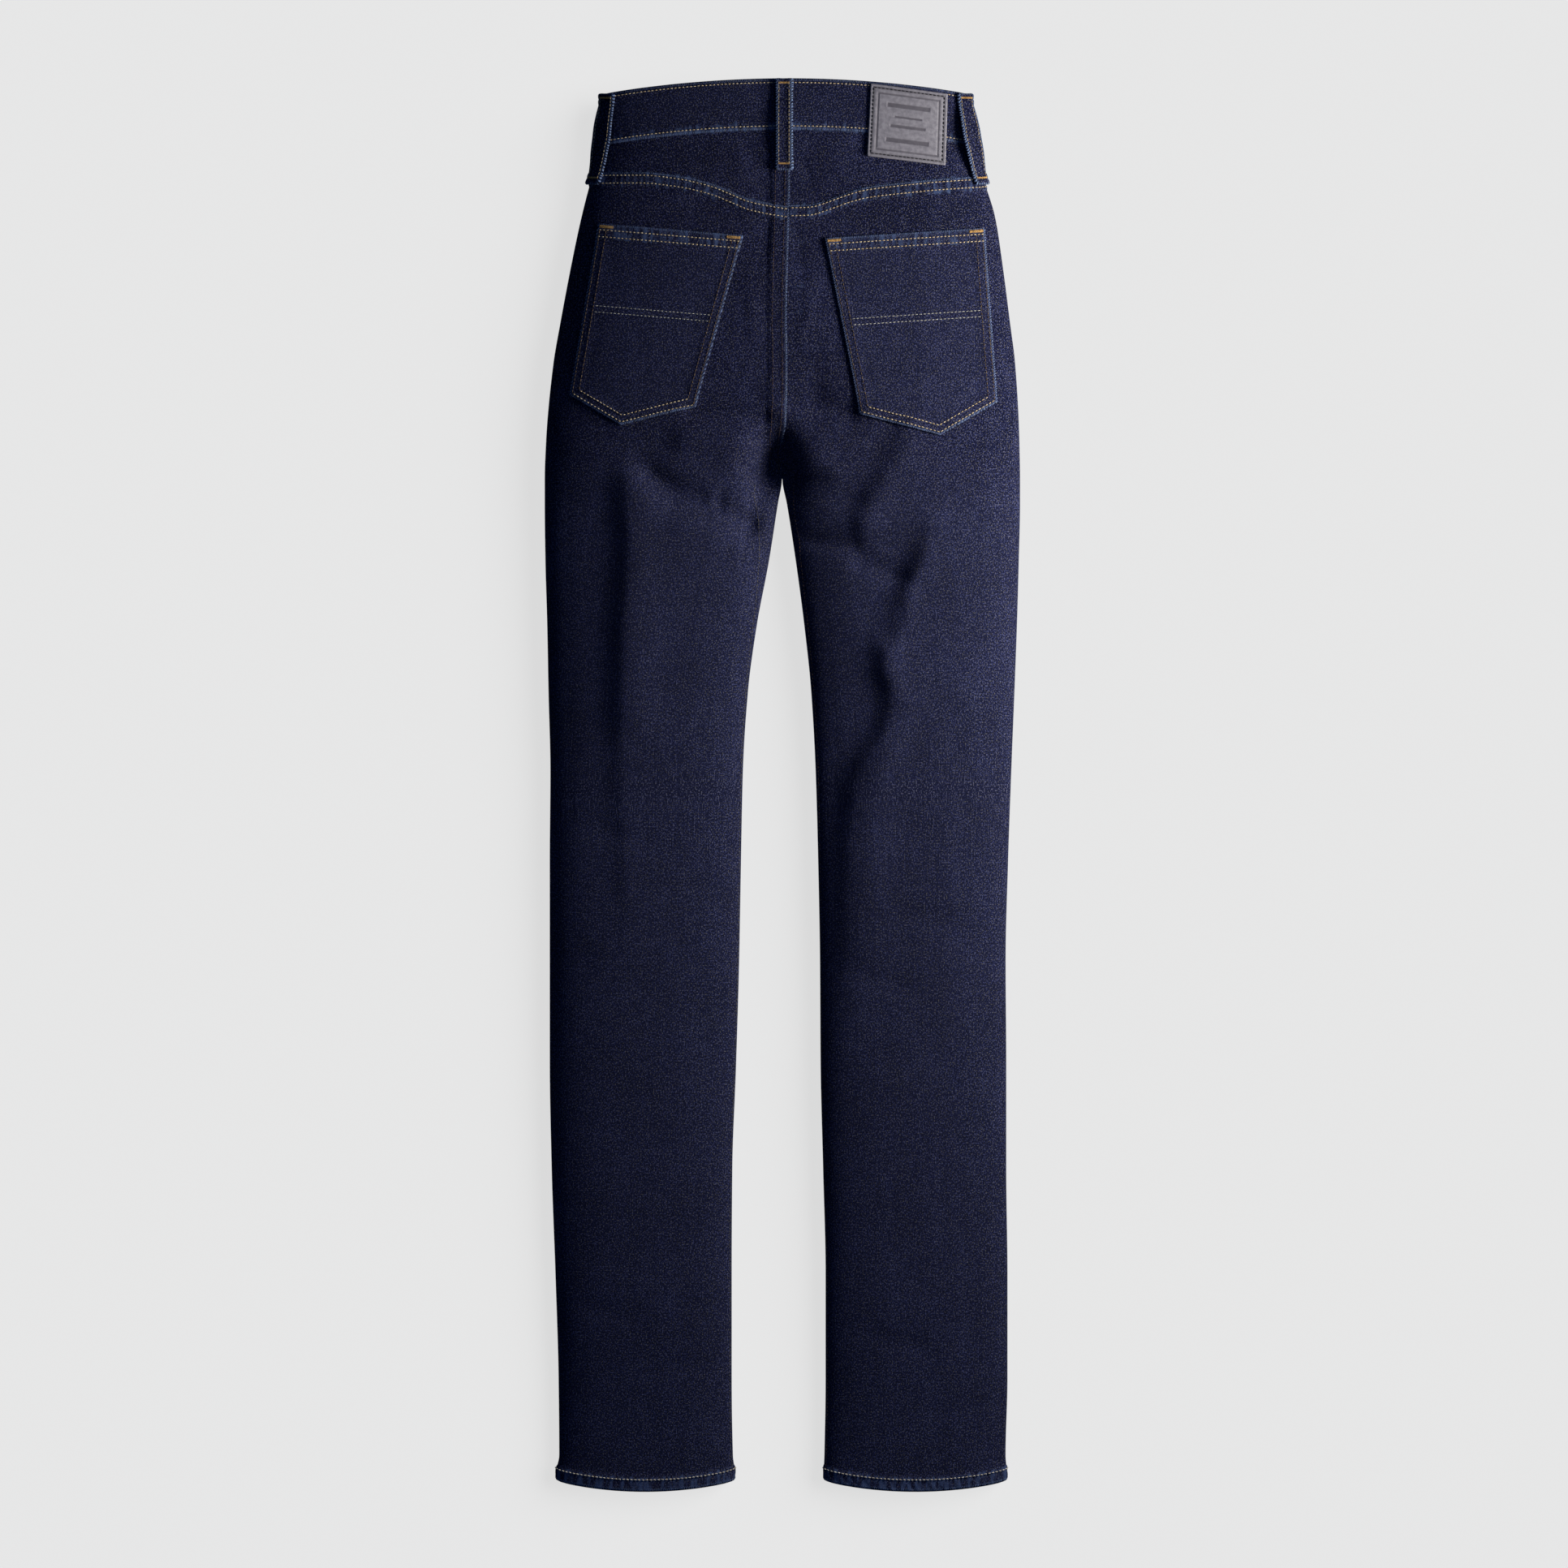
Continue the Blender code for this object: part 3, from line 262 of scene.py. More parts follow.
class Half:
    """One leg with its half of the seat: a ring at every level, from the centre back (or the
    leg's inner edge) over the top to the side and back along the floor. side is -1 on the
    left and +1 on the right."""

    def __init__(self, side):
        self.side = side
        rings = [self.ring(level) for level in SKIN_LEVELS]
        self.length = np.array([ring[1] for ring in rings])
        self.side_edge = np.array([ring[2] for ring in rings])
        self.points = np.array([ring[0] for ring in rings])
        round_the_ring = np.gradient(self.points, axis=1)
        up_the_leg = np.gradient(self.points, axis=0)
        normals = np.cross(round_the_ring, up_the_leg) * side
        self.normals = normals / np.linalg.norm(normals, axis=2, keepdims=True)

    def edges(self, level):
        """Outer edge, inner edge and cut of the section. Above the crotch the inner edge is
        only where the crown's curve would end, and the cut is the centre seam."""
        side = self.side
        left = along(OUTLINE, 1, level)
        right = along(OUTLINE, 4, level)
        seam = along(OUTLINE, 2, level)
        leg = along(OUTLINE, 2 if side < 0 else 3, level)
        outer, opposite = (left, right) if side < 0 else (right, left)
        reach = np.sin(0.5 * np.pi * np.clip((level - CROTCH) / SEAT_BLEND, 0.0, 1.0))
        seat = level >= CROTCH
        cut = np.where(seat, seam, leg) + side * HALF_GAP
        inner = np.where(seat, cut + (opposite - cut) * reach, cut)
        return outer, inner, cut

    def across(self, x, level):
        """Place across the section: -1 at the outer edge, +1 at the inner edge."""
        outer, inner, _ = self.edges(level)
        return (x - 0.5 * (inner + outer)) / (0.5 * (inner - outer))

    def top(self, t, x, level):
        """Side height plus rise to the crown, (1 - |t|^spread)^(1/rise), plus the folds, less
        drop (1 - e^-(past/fall)^2) e^-(past/climb) on the left of the break."""
        crown = along(PROFILE, 1, level)
        edge = along(PROFILE, 2, level)
        rise = (1.0 - np.minimum(np.abs(t), 1.0) ** CROWN_SPREAD) ** (1.0 / CROWN_RISE)
        line = LEFT_BREAK if self.side < 0 else RIGHT_BREAK
        past = np.maximum(along(line, 1, level) - x, 0.0)
        fallen = (1.0 - np.exp(-(past / BREAK_FALL) ** 2)) * np.exp(-past / BREAK_CLIMB)
        drop = along(line, 2, level) * fallen
        folded = fold_height(x, level, FOLDS) + fold_height(x, level, CREASES, True) - drop
        return edge + (crown - edge) * rise + folded * np.minimum(1.0, 1.5 * rise)

    def bottom(self, t, x, half_width, level):
        """Height of the floor side: flat but for its creases, with a quarter ellipse up to
        each edge."""
        edge = along(PROFILE, 2, level)
        lift = along(PROFILE, 3, level)
        rounded = FLOOR_ROUND * edge / half_width
        into = np.clip((np.abs(t) - 1.0 + rounded) / rounded, 0.0, 1.0)
        flat = np.sqrt(1.0 - into * into)
        return edge - (edge - lift) * flat + fold_height(x, level, FRONT_CREASES, True) * flat

    def ring(self, level):
        """Points at even shares of the ring, its length, and the distance to the side edge."""
        outer, inner, cut = self.edges(level)
        middle = 0.5 * (inner + outer)
        half_width = 0.5 * (inner - outer)
        limit = (cut - middle) / half_width
        swing = np.linspace(0.0, np.pi, 400)
        t = np.minimum(np.cos(swing), limit)
        x = middle + half_width * t
        over = np.stack((x, self.top(t, x, level)), axis=1)
        t = np.minimum(-np.cos(swing[1:]), limit)
        x = middle + half_width * t
        under = np.stack((x, self.bottom(t, x, abs(half_width), level)), axis=1)
        line = np.concatenate((over, under))
        run = np.concatenate(([0.0], np.cumsum(np.hypot(*np.diff(line, axis=0).T))))
        wanted = SKIN_SHARES * run[-1]
        xs = np.interp(wanted, run, line[:, 0])
        zs = np.interp(wanted, run, line[:, 1])
        ys = np.full_like(xs, level)
        return np.stack((xs, ys, zs), axis=1), run[-1], run[len(over) - 1]

    def round_length(self, level):
        """Length of the ring, from centre back to centre front or all round the leg."""
        return np.interp(level, SKIN_LEVELS, self.length)

    def to_side(self, level):
        """Distance round the ring to the side edge."""
        return np.interp(level, SKIN_LEVELS, self.side_edge)

    def at(self, distance, level):
        """Points and outward normals of the skin, by distance round and level. Past the inner
        edge of a leg the ring goes on from its start; past the centre front it runs on flat."""
        whole = self.round_length(level)
        past = np.maximum(distance - whole, 0.0)
        closed = level <= CROTCH
        share = np.where(closed & (past > 0.0), past, np.minimum(distance, whole)) / whole
        i = (level - SKIN_LEVELS[0]) / (SKIN_LEVELS[1] - SKIN_LEVELS[0])
        j = np.clip(share, 0.0, 1.0) * (len(SKIN_SHARES) - 1)
        i0 = np.clip(np.floor(i).astype(int), 0, len(SKIN_LEVELS) - 2)
        j0 = np.clip(np.floor(j).astype(int), 0, len(SKIN_SHARES) - 2)
        u = (i - i0)[..., None]
        v = (j - j0)[..., None]
        found = []
        for field in (self.points, self.normals):
            low = field[i0, j0] * (1.0 - v) + field[i0, j0 + 1] * v
            high = field[i0 + 1, j0] * (1.0 - v) + field[i0 + 1, j0 + 1] * v
            found.append(low * (1.0 - u) + high * u)
        points, normals = found
        points[..., 0] -= self.side * np.where(closed, 0.0, past)
        normals /= np.linalg.norm(normals, axis=-1, keepdims=True)
        return points, normals


LEFT = Half(-1)
RIGHT = Half(1)
HALVES = (("left", LEFT), ("right", RIGHT))

# The cut of the legs, as distances round the ring and levels.
OUTSEAM_DROP = 4.0             # the side seam lies this far round, under the side edge
JUNCTION = 274.0               # where the four leg pieces meet
# The inseam's distance from the inner edge, over the top: level, left, right.
INSEAM = (
    (274.0, 0.0, 0.0),
    (270.0, 8.0, 3.5),
    (264.0, 18.0, 7.0),
    (245.0, 23.0, 9.0),
    (225.0, 20.0, 8.5),
    (208.0, 16.0, 8.0),
    (175.0, 12.0, 6.5),
    (137.0, 7.0, 5.0),
    (60.0, 4.0, 3.5),
    (-158.0, 2.5, 2.0),
    (-572.0, 2.0, 2.0),
)
# The yoke seam: distance from the centre seam, level on the left, level on the right.
YOKE_SEAM = (
    (0.0, 462.5, 463.5),
    (16.0, 465.0, 464.0),
    (32.0, 468.5, 468.5),
    (47.0, 474.5, 474.0),
    (62.0, 480.5, 478.0),
    (90.0, 487.0, 481.5),
    (120.0, 490.0, 484.5),
    (180.0, 490.0, 488.5),
)
YOKE_LEVEL = 480.0
HEM_SIDE = -555.0              # level of the hem at the side edges
HEM_BACK_DIP = 10.0            # it falls by this much at the middle of the back
HEM_FRONT_DIP = 7.0
HEM_FLATNESS = 0.7             # under 1 the hem is flatter in the middle than a sine


def outseam(half, level):
    """Distance round the ring to the side seam."""
    return half.to_side(level) + OUTSEAM_DROP


def inseam(half, level):
    """Distance over the top from a leg's inner edge to the inseam, and 0 above the fork."""
    return along(INSEAM, 1 if half.side < 0 else 2, level) * (level <= JUNCTION)


def yoke_seam(half, distance):
    """Level of the yoke seam."""
    return along(YOKE_SEAM, 1 if half.side < 0 else 2, distance)


def hem(half, distance):
    """Level of the hem's edge: a flattened half sine over the back and one over the front."""
    side = half.to_side(HEM_SIDE)
    whole = half.round_length(HEM_SIDE)
    distance = np.mod(distance, whole)
    over = np.clip(distance / side, 0.0, 1.0)
    under = np.clip((distance - side) / (whole - side), 0.0, 1.0)
    bow_over = np.maximum(np.sin(np.pi * over), 0.0) ** HEM_FLATNESS
    bow_under = np.maximum(np.sin(np.pi * under), 0.0) ** HEM_FLATNESS
    return HEM_SIDE - HEM_BACK_DIP * bow_over - HEM_FRONT_DIP * bow_under


EDGE_COLUMNS = [0.0, 0.7, 1.6, 3.0]    # columns beside a cut edge, where it rolls over


def shares(near_start, between, near_end):
    """Columns across a piece: each is a share of its width and a shift from that share."""
    first = near_start[-1]
    last = near_end[0]
    middle = np.linspace(0.0, 1.0, between + 2)[1:-1]
    share = np.concatenate((np.zeros(len(near_start)), middle, np.ones(len(near_end))))
    shift = np.concatenate((near_start, first * (1.0 - middle) - last * middle, -np.array(near_end)))
    return share, shift


def spread(columns, start, end):
    """Distances round the ring of every column, for rows that start and end at these."""
    share, shift = columns
    return start + share * (end - start) + shift


def linear(hex_colour):
    """Linear colour of an sRGB hex value."""
    channels = [int(hex_colour[i:i + 2], 16) / 255.0 for i in (1, 3, 5)]
    return [c / 12.92 if c <= 0.04045 else ((c + 0.055) / 1.055) ** 2.4 for c in channels] + [1.0]


def add(tree, kind, inputs, stops=(), **settings):
    """One shader node: its settings, each input linked to a socket or set to a value, and a
    ramp's stops, each a place and an sRGB hex. It gives back the socket with the result."""
    made = tree.nodes.new("ShaderNode" + kind)
    for key, value in settings.items():
        setattr(made, key, value)
    for key, value in inputs.items():
        if isinstance(value, bpy.types.NodeSocket):
            tree.links.new(value, made.inputs[key])
        else:
            made.inputs[key].default_value = value
    for place, _ in stops[1:-1]:
        made.color_ramp.elements.new(place)
    for k, (place, colour) in enumerate(stops):
        made.color_ramp.elements[k].position = place
        made.color_ramp.elements[k].color = linear(colour)
    return made.outputs[2 if kind == "Mix" else 0]


def new_material(name, finish):
    """A Principled material with this finish on its own sockets, its tree and its shader."""
    material = bpy.data.materials.new(name)
    material.use_nodes = True
    shader = material.node_tree.nodes["Principled BSDF"]
    for key, value in finish.items():
        shader.inputs[key].default_value = value
    return material, material.node_tree, shader


def denim(name, tones, roping):
    """Indigo twill: diagonal ridges of dyed warp with undyed weft showing between them as
    small flecks. The cloth map is in millimetres, so each size below is a real one. The
    sewn attribute says where seams pucker it (red along rows, green along columns), where
    it turns over a folded edge (blue), and where it is rubbed pale (alpha)."""
    material, tree, shader = new_material(name, {
        "Roughness": 0.9, "Specular IOR Level": 0.18, "Sheen Weight": 0.03,
        "Sheen Roughness": 0.45, "Sheen Tint": linear("#aab4d8"),
    })
    cloth = add(tree, "UVMap", {}, uv_map="cloth")
    sewn = add(tree, "Attribute", {}, attribute_name="sewn")
    along_rows, along_columns, folded = add(tree, "SeparateColor", {0: sewn}).node.outputs
    rubbed = sewn.node.outputs["Alpha"]

    # Yarn is uneven, so the twill lines wander by about a third of a millimetre.
    drift = add(tree, "TexNoise", {"Vector": cloth, "Scale": 0.16, "Detail": 2.0}, noise_dimensions="2D")
    over, up, _ = add(tree, "SeparateXYZ", {0: cloth}).node.outputs
    warp = add(tree, "Math", {0: over, 1: TWILL_RUN * YARN}, operation="DIVIDE")
    weft = add(tree, "Math", {0: up, 1: TWILL_RUN * PICK}, operation="DIVIDE")
    phase = add(tree, "Math", {0: warp, 1: weft}, operation="SUBTRACT")
    phase = add(tree, "Math", {0: drift, 1: 1.6, 2: phase}, operation="MULTIPLY_ADD")
    turns = add(tree, "Math", {0: phase, 1: 2.0 * np.pi}, operation="MULTIPLY")
    twill = add(tree, "Math", {0: turns}, operation="SINE")

    # Each pattern's cells over the weft and along the warp, in millimetres, and its weight.
    # Single floats of yarn are under half a millimetre, too fine to show, so the flecks are
    # drawn two to three times as coarse. Slubs are thick stretches of warp yarn. Dye takes
    # in streaks along the warp and in clouds, and wear brushes the face in smaller ones.
    patterns = (
        ("flecks", 1.0, 1.25, 2.0, 2.1),
        ("slubs", 1.5, 22.0, 2.0, 0.20),
        ("streaks", 12.0, 240.0, 3.0, 0.14),
        ("brushing", 9.0, 7.0, 2.0, 0.20),
        ("clouds", 60.0, 70.0, 3.0, 0.24),
    )
    tone = add(tree, "Math", {0: twill, 1: 0.055, 2: 0.5}, operation="MULTIPLY_ADD")
    noises = {}
    for pattern, wide, long, detail, weight in patterns:
        place = add(tree, "VectorMath", {0: cloth, 1: (1.0 / wide, 1.0 / long, 1.0)}, operation="MULTIPLY")
        noise = add(
            tree, "TexNoise", {"Vector": place, "Scale": 1.0, "Detail": detail, "Roughness": 0.7},
            noise_dimensions="2D",
        )
        noises[pattern] = noise
        tone = add(tree, "Math", {0: noise, 1: weight, 2: tone}, operation="MULTIPLY_ADD")
        tone = add(tree, "Math", {0: tone, 1: 0.5 * weight}, operation="SUBTRACT")
    colour = add(tree, "ValToRGB", {0: tone}, stops=tones)
    washed = linear(tones[-1][1])

    # Here and there a float of the undyed weft stands clear of the warp.
    place = add(tree, "VectorMath", {0: cloth, 1: (1.0, 0.9, 1.0)}, operation="MULTIPLY")
    bare = add(tree, "TexNoise", {"Vector": place, "Scale": 1.0, "Detail": 0.0}, noise_dimensions="2D")
    bare = add(tree, "MapRange", {"Value": bare, "From Min": 0.68, "From Max": 0.80, "To Max": 0.5})
    colour = add(tree, "Mix", {0: bare, 6: colour, 7: linear(BARE_WEFT)}, data_type="RGBA")

    # Puckers: the seam draws the cloth up every 4 mm or so, and the tops wash out bluer.
    level_place = add(tree, "VectorMath", {0: cloth, 1: (0.27, 0.06, 1.0)}, operation="MULTIPLY")
    level_pucker = add(tree, "TexNoise", {"Vector": level_place, "Scale": 1.0}, noise_dimensions="2D")
    upright_place = add(tree, "VectorMath", {0: cloth, 1: (0.06, 0.2, 1.0)}, operation="MULTIPLY")
    upright_pucker = add(tree, "TexNoise", {"Vector": upright_place, "Scale": 1.0}, noise_dimensions="2D")
    level_pucker = add(tree, "Math", {0: level_pucker, 1: along_rows}, operation="MULTIPLY")
    upright_pucker = add(tree, "Math", {0: upright_pucker, 1: along_columns}, operation="MULTIPLY")
    pucker = add(tree, "Math", {0: level_pucker, 1: upright_pucker}, operation="MAXIMUM")
    drawn = add(
        tree, "MapRange", {"Value": pucker, "From Min": 0.34, "From Max": 0.62, "To Max": 0.55},
        interpolation_type="SMOOTHSTEP",
    )
    colour = add(tree, "Mix", {0: drawn, 6: colour, 7: linear(PUCKER_BLUE)}, data_type="RGBA")

    # Where the cloth is folded its twill lines stand up as a pale rope, 1.5 mm apart.
    rope = add(tree, "MapRange", {"Value": twill, "From Min": -0.35, "From Max": 0.85})
    rope = add(tree, "Math", {0: rope, 1: folded}, operation="MULTIPLY")
    colour = add(tree, "Mix", {0: rope, 6: colour, 7: linear(roping)}, data_type="RGBA")
    worn = add(tree, "Math", {0: rubbed, 1: noises["flecks"]}, operation="MULTIPLY")
    colour = add(tree, "Mix", {0: worn, 6: colour, 7: washed}, data_type="RGBA")
    tree.links.new(colour, shader.inputs["Base Color"])

    # Relief: twill ridges a tenth of a millimetre high, and the puckers beside the seams.
    relief = add(tree, "Math", {0: twill, 1: 0.3, 2: noises["flecks"]}, operation="MULTIPLY_ADD")
    relief = add(tree, "Math", {0: pucker, 1: 3.0, 2: relief}, operation="MULTIPLY_ADD")
    bump = add(tree, "Bump", {"Strength": 0.35, "Distance": 0.00025, "Height": relief})
    tree.links.new(bump, shader.inputs["Normal"])
    return material


# Rinsed twill denim, woven from indigo warp and undyed weft: near black navy, with a
# matt, slightly dusty face. Its inner face shows the weft, so it is pale and greyish.
PUCKER_BLUE = "#5c7099"
BARE_WEFT = "#8d877f"
DENIM_FACE = denim(
    "rinsed_indigo_twill",
    ((0.30, "#04061c"), (0.52, "#0d1030"), (0.72, "#21254e"), (0.92, "#60648a")), "#8ea2c4",
)
DENIM_BACK = denim(
    "twill_weft_side",
    ((0.28, "#4a5068"), (0.50, "#6f768c"), (0.68, "#9aa0b0"), (0.86, "#bcc0ca")), "#c6cad2",
)


def cells(index):
    """The four-sided faces of a grid of point numbers."""
    corners = (index[:-1, :-1], index[:-1, 1:], index[1:, 1:], index[1:, :-1])
    return np.stack(corners, axis=-1).reshape(-1, 4)


def build(name, points, faces, materials, smooth=True):
    """A mesh object from points in millimetres and equal-sided faces, riding on the garment."""
    mesh = bpy.data.meshes.new(name)
    mesh.from_pydata(np.asarray(points) * MM, [], np.asarray(faces))
    mesh.polygons.foreach_set("use_smooth", np.full(len(faces), smooth))
    for material in materials:
        mesh.materials.append(material)
    piece = bpy.data.objects.new(name, mesh)
    bpy.context.scene.collection.objects.link(piece)
    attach(piece, "root")
    return piece


def pressed_flat(points):
    """The same points, but those that would lie below the floor are pressed flat on it."""
    return np.maximum(points, (-np.inf, -np.inf, 0.0))


def shell(name, points, normals, thick, flat_map, sewn, materials, faces=None, rim_rope=0.25):
    """A closed thin shell, over a grid of points unless its faces are given. The inner face
    lies thick below the outer one along its normals. Round each open edge runs a half round
    rim: middle + cos(a) (outer - middle) + sin(a) (thick / 2) outward, for a of 45, 90 and 135
    degrees, where outward is at right angles to the edge and the normal. What would lie below
    the floor is pressed flat on it. rim_rope is how strongly the rim's twill lines show."""
    if faces is None:
        faces = cells(np.arange(points[..., 0].size).reshape(points.shape[:2]))
    points = points.reshape(-1, 3)
    normals = normals.reshape(-1, 3)
    count = len(points)
    thick = np.broadcast_to(np.ravel(thick), count)[:, None]
    first = points[faces[:, 2]] - points[faces[:, 0]]
    second = points[faces[:, 3]] - points[faces[:, 1]]
    if np.sum(np.cross(first, second) * normals[faces[:, 0]]) < 0.0:
        faces = faces[:, ::-1]
    inner = points - normals * thick
    start = faces.ravel()
    stop = np.roll(faces, -1, axis=1).ravel()
    is_open = ~np.isin(stop * count + start, start * count + stop)
    start = start[is_open]
    stop = stop[is_open]
    away = np.cross(points[stop] - points[start], normals[start])
    away /= np.linalg.norm(away, axis=1, keepdims=True) + 1e-9
    outward = np.zeros_like(points)
    np.add.at(outward, start, away)
    np.add.at(outward, stop, away)
    rim = np.unique(start)
    outward = outward[rim] / (np.linalg.norm(outward[rim], axis=1, keepdims=True) + 1e-9)
    middle = 0.5 * (points[rim] + inner[rim])
    angles = np.radians((45.0, 90.0, 135.0))
    rings = [
        middle + (points[rim] - middle) * np.cos(a) + outward * 0.5 * thick[rim] * np.sin(a)
        for a in angles
    ]
    place = np.zeros(count, int)
    place[rim] = np.arange(len(rim))
    ids = [np.arange(count)] + [2 * count + k * len(rim) + place for k in range(len(rings))]
    ids.append(count + np.arange(count))
    bands = [
        np.stack((above[stop], above[start], below[start], below[stop]), axis=1)
        for above, below in zip(ids, ids[1:])
    ]
    all_faces = np.concatenate([faces] + bands + [faces[:, ::-1] + count])
    source = np.concatenate([np.arange(count)] * 2 + [rim] * len(rings))
    piece = build(name, pressed_flat(np.concatenate([points, inner] + rings)), all_faces, materials)
    mesh = piece.data
    inside = np.arange(len(all_faces)) >= len(all_faces) - len(faces)
    mesh.polygons.foreach_set("material_index", inside.astype(np.int32) * (len(materials) > 1))
    corner = np.zeros(len(mesh.loops), np.int32)
    mesh.loops.foreach_get("vertex_index", corner)
    layer = mesh.uv_layers.new(name="cloth")
    flat = flat_map.reshape(-1, 2)[source][corner]
    layer.data.foreach_set("uv", flat.astype(np.float32).ravel())
    values = sewn.reshape(-1, 4)[source]
    values[2 * count:, 2] = rim_rope
    attribute = mesh.attributes.new("sewn", "FLOAT_COLOR", "POINT")
    attribute.data.foreach_set("color", values.astype(np.float32).ravel())
    return piece


def panel(node, points, normals, thick, flat_map, sewn, **more):
    """A shell of twill that stands for this node of the frame."""
    face_and_back = (DENIM_FACE, DENIM_BACK)
    piece = shell(node + "_denim", points, normals, thick, flat_map, sewn, face_and_back, **more)
    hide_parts(node)
    return piece


def marks(shape, level_pucker=0.0, upright_pucker=0.0, folded=0.0, rubbed=0.0):
    """The four sewn values of every point, as one array."""
    values = (level_pucker, upright_pucker, folded, rubbed)
    return np.stack([np.broadcast_to(value, shape) for value in values], axis=-1)


def lay_flat(cuts):
    """Adds up the widths round of one or more grids side by side, whose distances round and
    levels cuts holds. The sum is not kept."""
    width = 0.0
    for distance, level in cuts:
        width += np.ptp(distance)


def bumps(place, pitch, seed):
    """Uneven waves of about that pitch: three sines whose pitches don't share a factor."""
    turn = 2.0 * np.pi * place / pitch
    return (np.sin(turn + seed) + 0.7 * np.sin(0.618 * turn + 2.1 * seed)
            + 0.5 * np.sin(1.47 * turn + 3.7 * seed)) / 2.2


def near(distance, width):
    """1 at an edge, falling smoothly to 0 at that distance from it."""
    return 1.0 - ease(distance / width)


STITCH_PITCH = 3.1             # ten stitches to 31 mm
STITCH_RUN = 2.55              # the part of each that shows
THREAD_RADIUS = 0.43           # really 0.2, drawn thicker so that it shows
HEM_THREAD_RADIUS = 0.5
FINE_THREAD_RADIUS = 0.3       # dark or dull rows, which show less
INSEAM_THREAD_RADIUS = 0.24


def sewing_thread(name, dark, light):
    """Core-spun polyester thread: its twisted plies give each float a darker and a lighter
    half, and its hairs leave it nearly matt."""
    finish = {"Roughness": 0.62, "Specular IOR Level": 0.3, "Sheen Weight": 0.1}
    material, tree, shader = new_material(name, finish)
    place = add(tree, "TexCoord", {}).node.outputs["Object"]
    # Object coordinates are in metres, so this changes about every millimetre.
    ply = add(tree, "TexNoise", {"Vector": place, "Scale": 1000.0, "Detail": 1.0})
    colour = add(tree, "ValToRGB", {0: ply}, stops=((0.38, dark), (0.62, light)))
    tree.links.new(colour, shader.inputs["Base Color"])
    return material


GOLD_THREAD = sewing_thread("golden_tan_thread", "#b8986a", "#f0d9ae")
HEM_THREAD = sewing_thread("pale_gold_thread", "#e2caa0", "#fff6df")
BROWN_THREAD = sewing_thread("dark_brown_thread", "#3d2f2b", "#6b5344")
CREAM_THREAD = sewing_thread("cream_thread", "#aaa392", "#e4dccb")
DULL_THREAD = sewing_thread("dull_cream_thread", "#4b4642", "#857c6e")
TACK_THREAD = sewing_thread("orange_gold_thread", "#a87a3e", "#e8b76e")


def floats(start, end, up, radius):
    """Many short threads at once, each from start to end with up away from the cloth. A
    float is a tube of five sides through four rings, at 0, 0.28, 0.72 and 1 of its length.
    Its middle stands 0.75 radius off the cloth, its narrower ends dip 0.7 radius into it."""
    count = len(start)
    run = end - start
    ahead = run / np.linalg.norm(run, axis=1, keepdims=True)
    side = np.cross(ahead, up)
    side /= np.linalg.norm(side, axis=1, keepdims=True)
    top = np.cross(side, ahead)
    share = np.array((0.0, 0.28, 0.72, 1.0))
    lift = np.array((-0.7, 0.75, 0.75, -0.7)) * radius
    swell = np.array((0.6, 1.0, 1.0, 0.6)) * radius
    turn = np.arange(5) * 2.0 * np.pi / 5.0
    centre = start[:, None] + run[:, None] * share[:, None] + top[:, None] * lift[:, None]
    round_it = side[:, None] * np.cos(turn)[:, None] + top[:, None] * np.sin(turn)[:, None]
    points = centre[:, :, None] + round_it[:, None] * swell[:, None, None]
    j = np.arange(5)
    k = (j + 1) % 5
    faces = [((0, 1, 2), (0, 2, 3), (0, 3, 4)), ((15, 17, 16), (15, 18, 17), (15, 19, 18))]
    for ring in (0, 5, 10):
        faces.append(np.stack((ring + j, ring + 5 + j, ring + 5 + k), axis=1))
        faces.append(np.stack((ring + j, ring + 5 + k, ring + k), axis=1))
    faces = np.concatenate(faces)
    all_faces = faces + 20 * np.arange(count)[:, None, None]
    return points.reshape(-1, 3), all_faces.reshape(-1, 3)


def stitches(points, normals, pitch=STITCH_PITCH, run=STITCH_RUN):
    """Start, end and up direction of each stitch along a line on the cloth."""
    at = np.concatenate(([0.0], np.cumsum(np.linalg.norm(np.diff(points, axis=0), axis=1))))
    count = max(1, int(at[-1] / pitch))
    middle = (np.arange(count) + 0.5) * at[-1] / count

    def on(values, place):
        return np.stack([np.interp(place, at, values[:, k]) for k in range(3)], axis=1)

    return on(points, middle - 0.5 * run), on(points, middle + 0.5 * run), on(normals, middle)


def sew(name, rows, thread, radius=THREAD_RADIUS):
    """One object of all these rows of stitches, each row given as starts, ends and ups."""
    start, end, up = [np.concatenate(field) for field in zip(*rows)]
    points, faces = floats(start, end, up, radius)
    piece = build(name, points, faces, (thread,))
    return piece


def bar_tack(points, normals, height, pitch=0.5):
    """A bar tack along a line on the cloth: threads laid across it, side by side."""
    start, end, up = stitches(points, normals, pitch, pitch)
    ahead = end - start
    across = np.cross(up, ahead / np.linalg.norm(ahead, axis=1, keepdims=True))
    middle = 0.5 * (start + end)
    return middle - across * 0.5 * height, middle + across * 0.5 * height, up


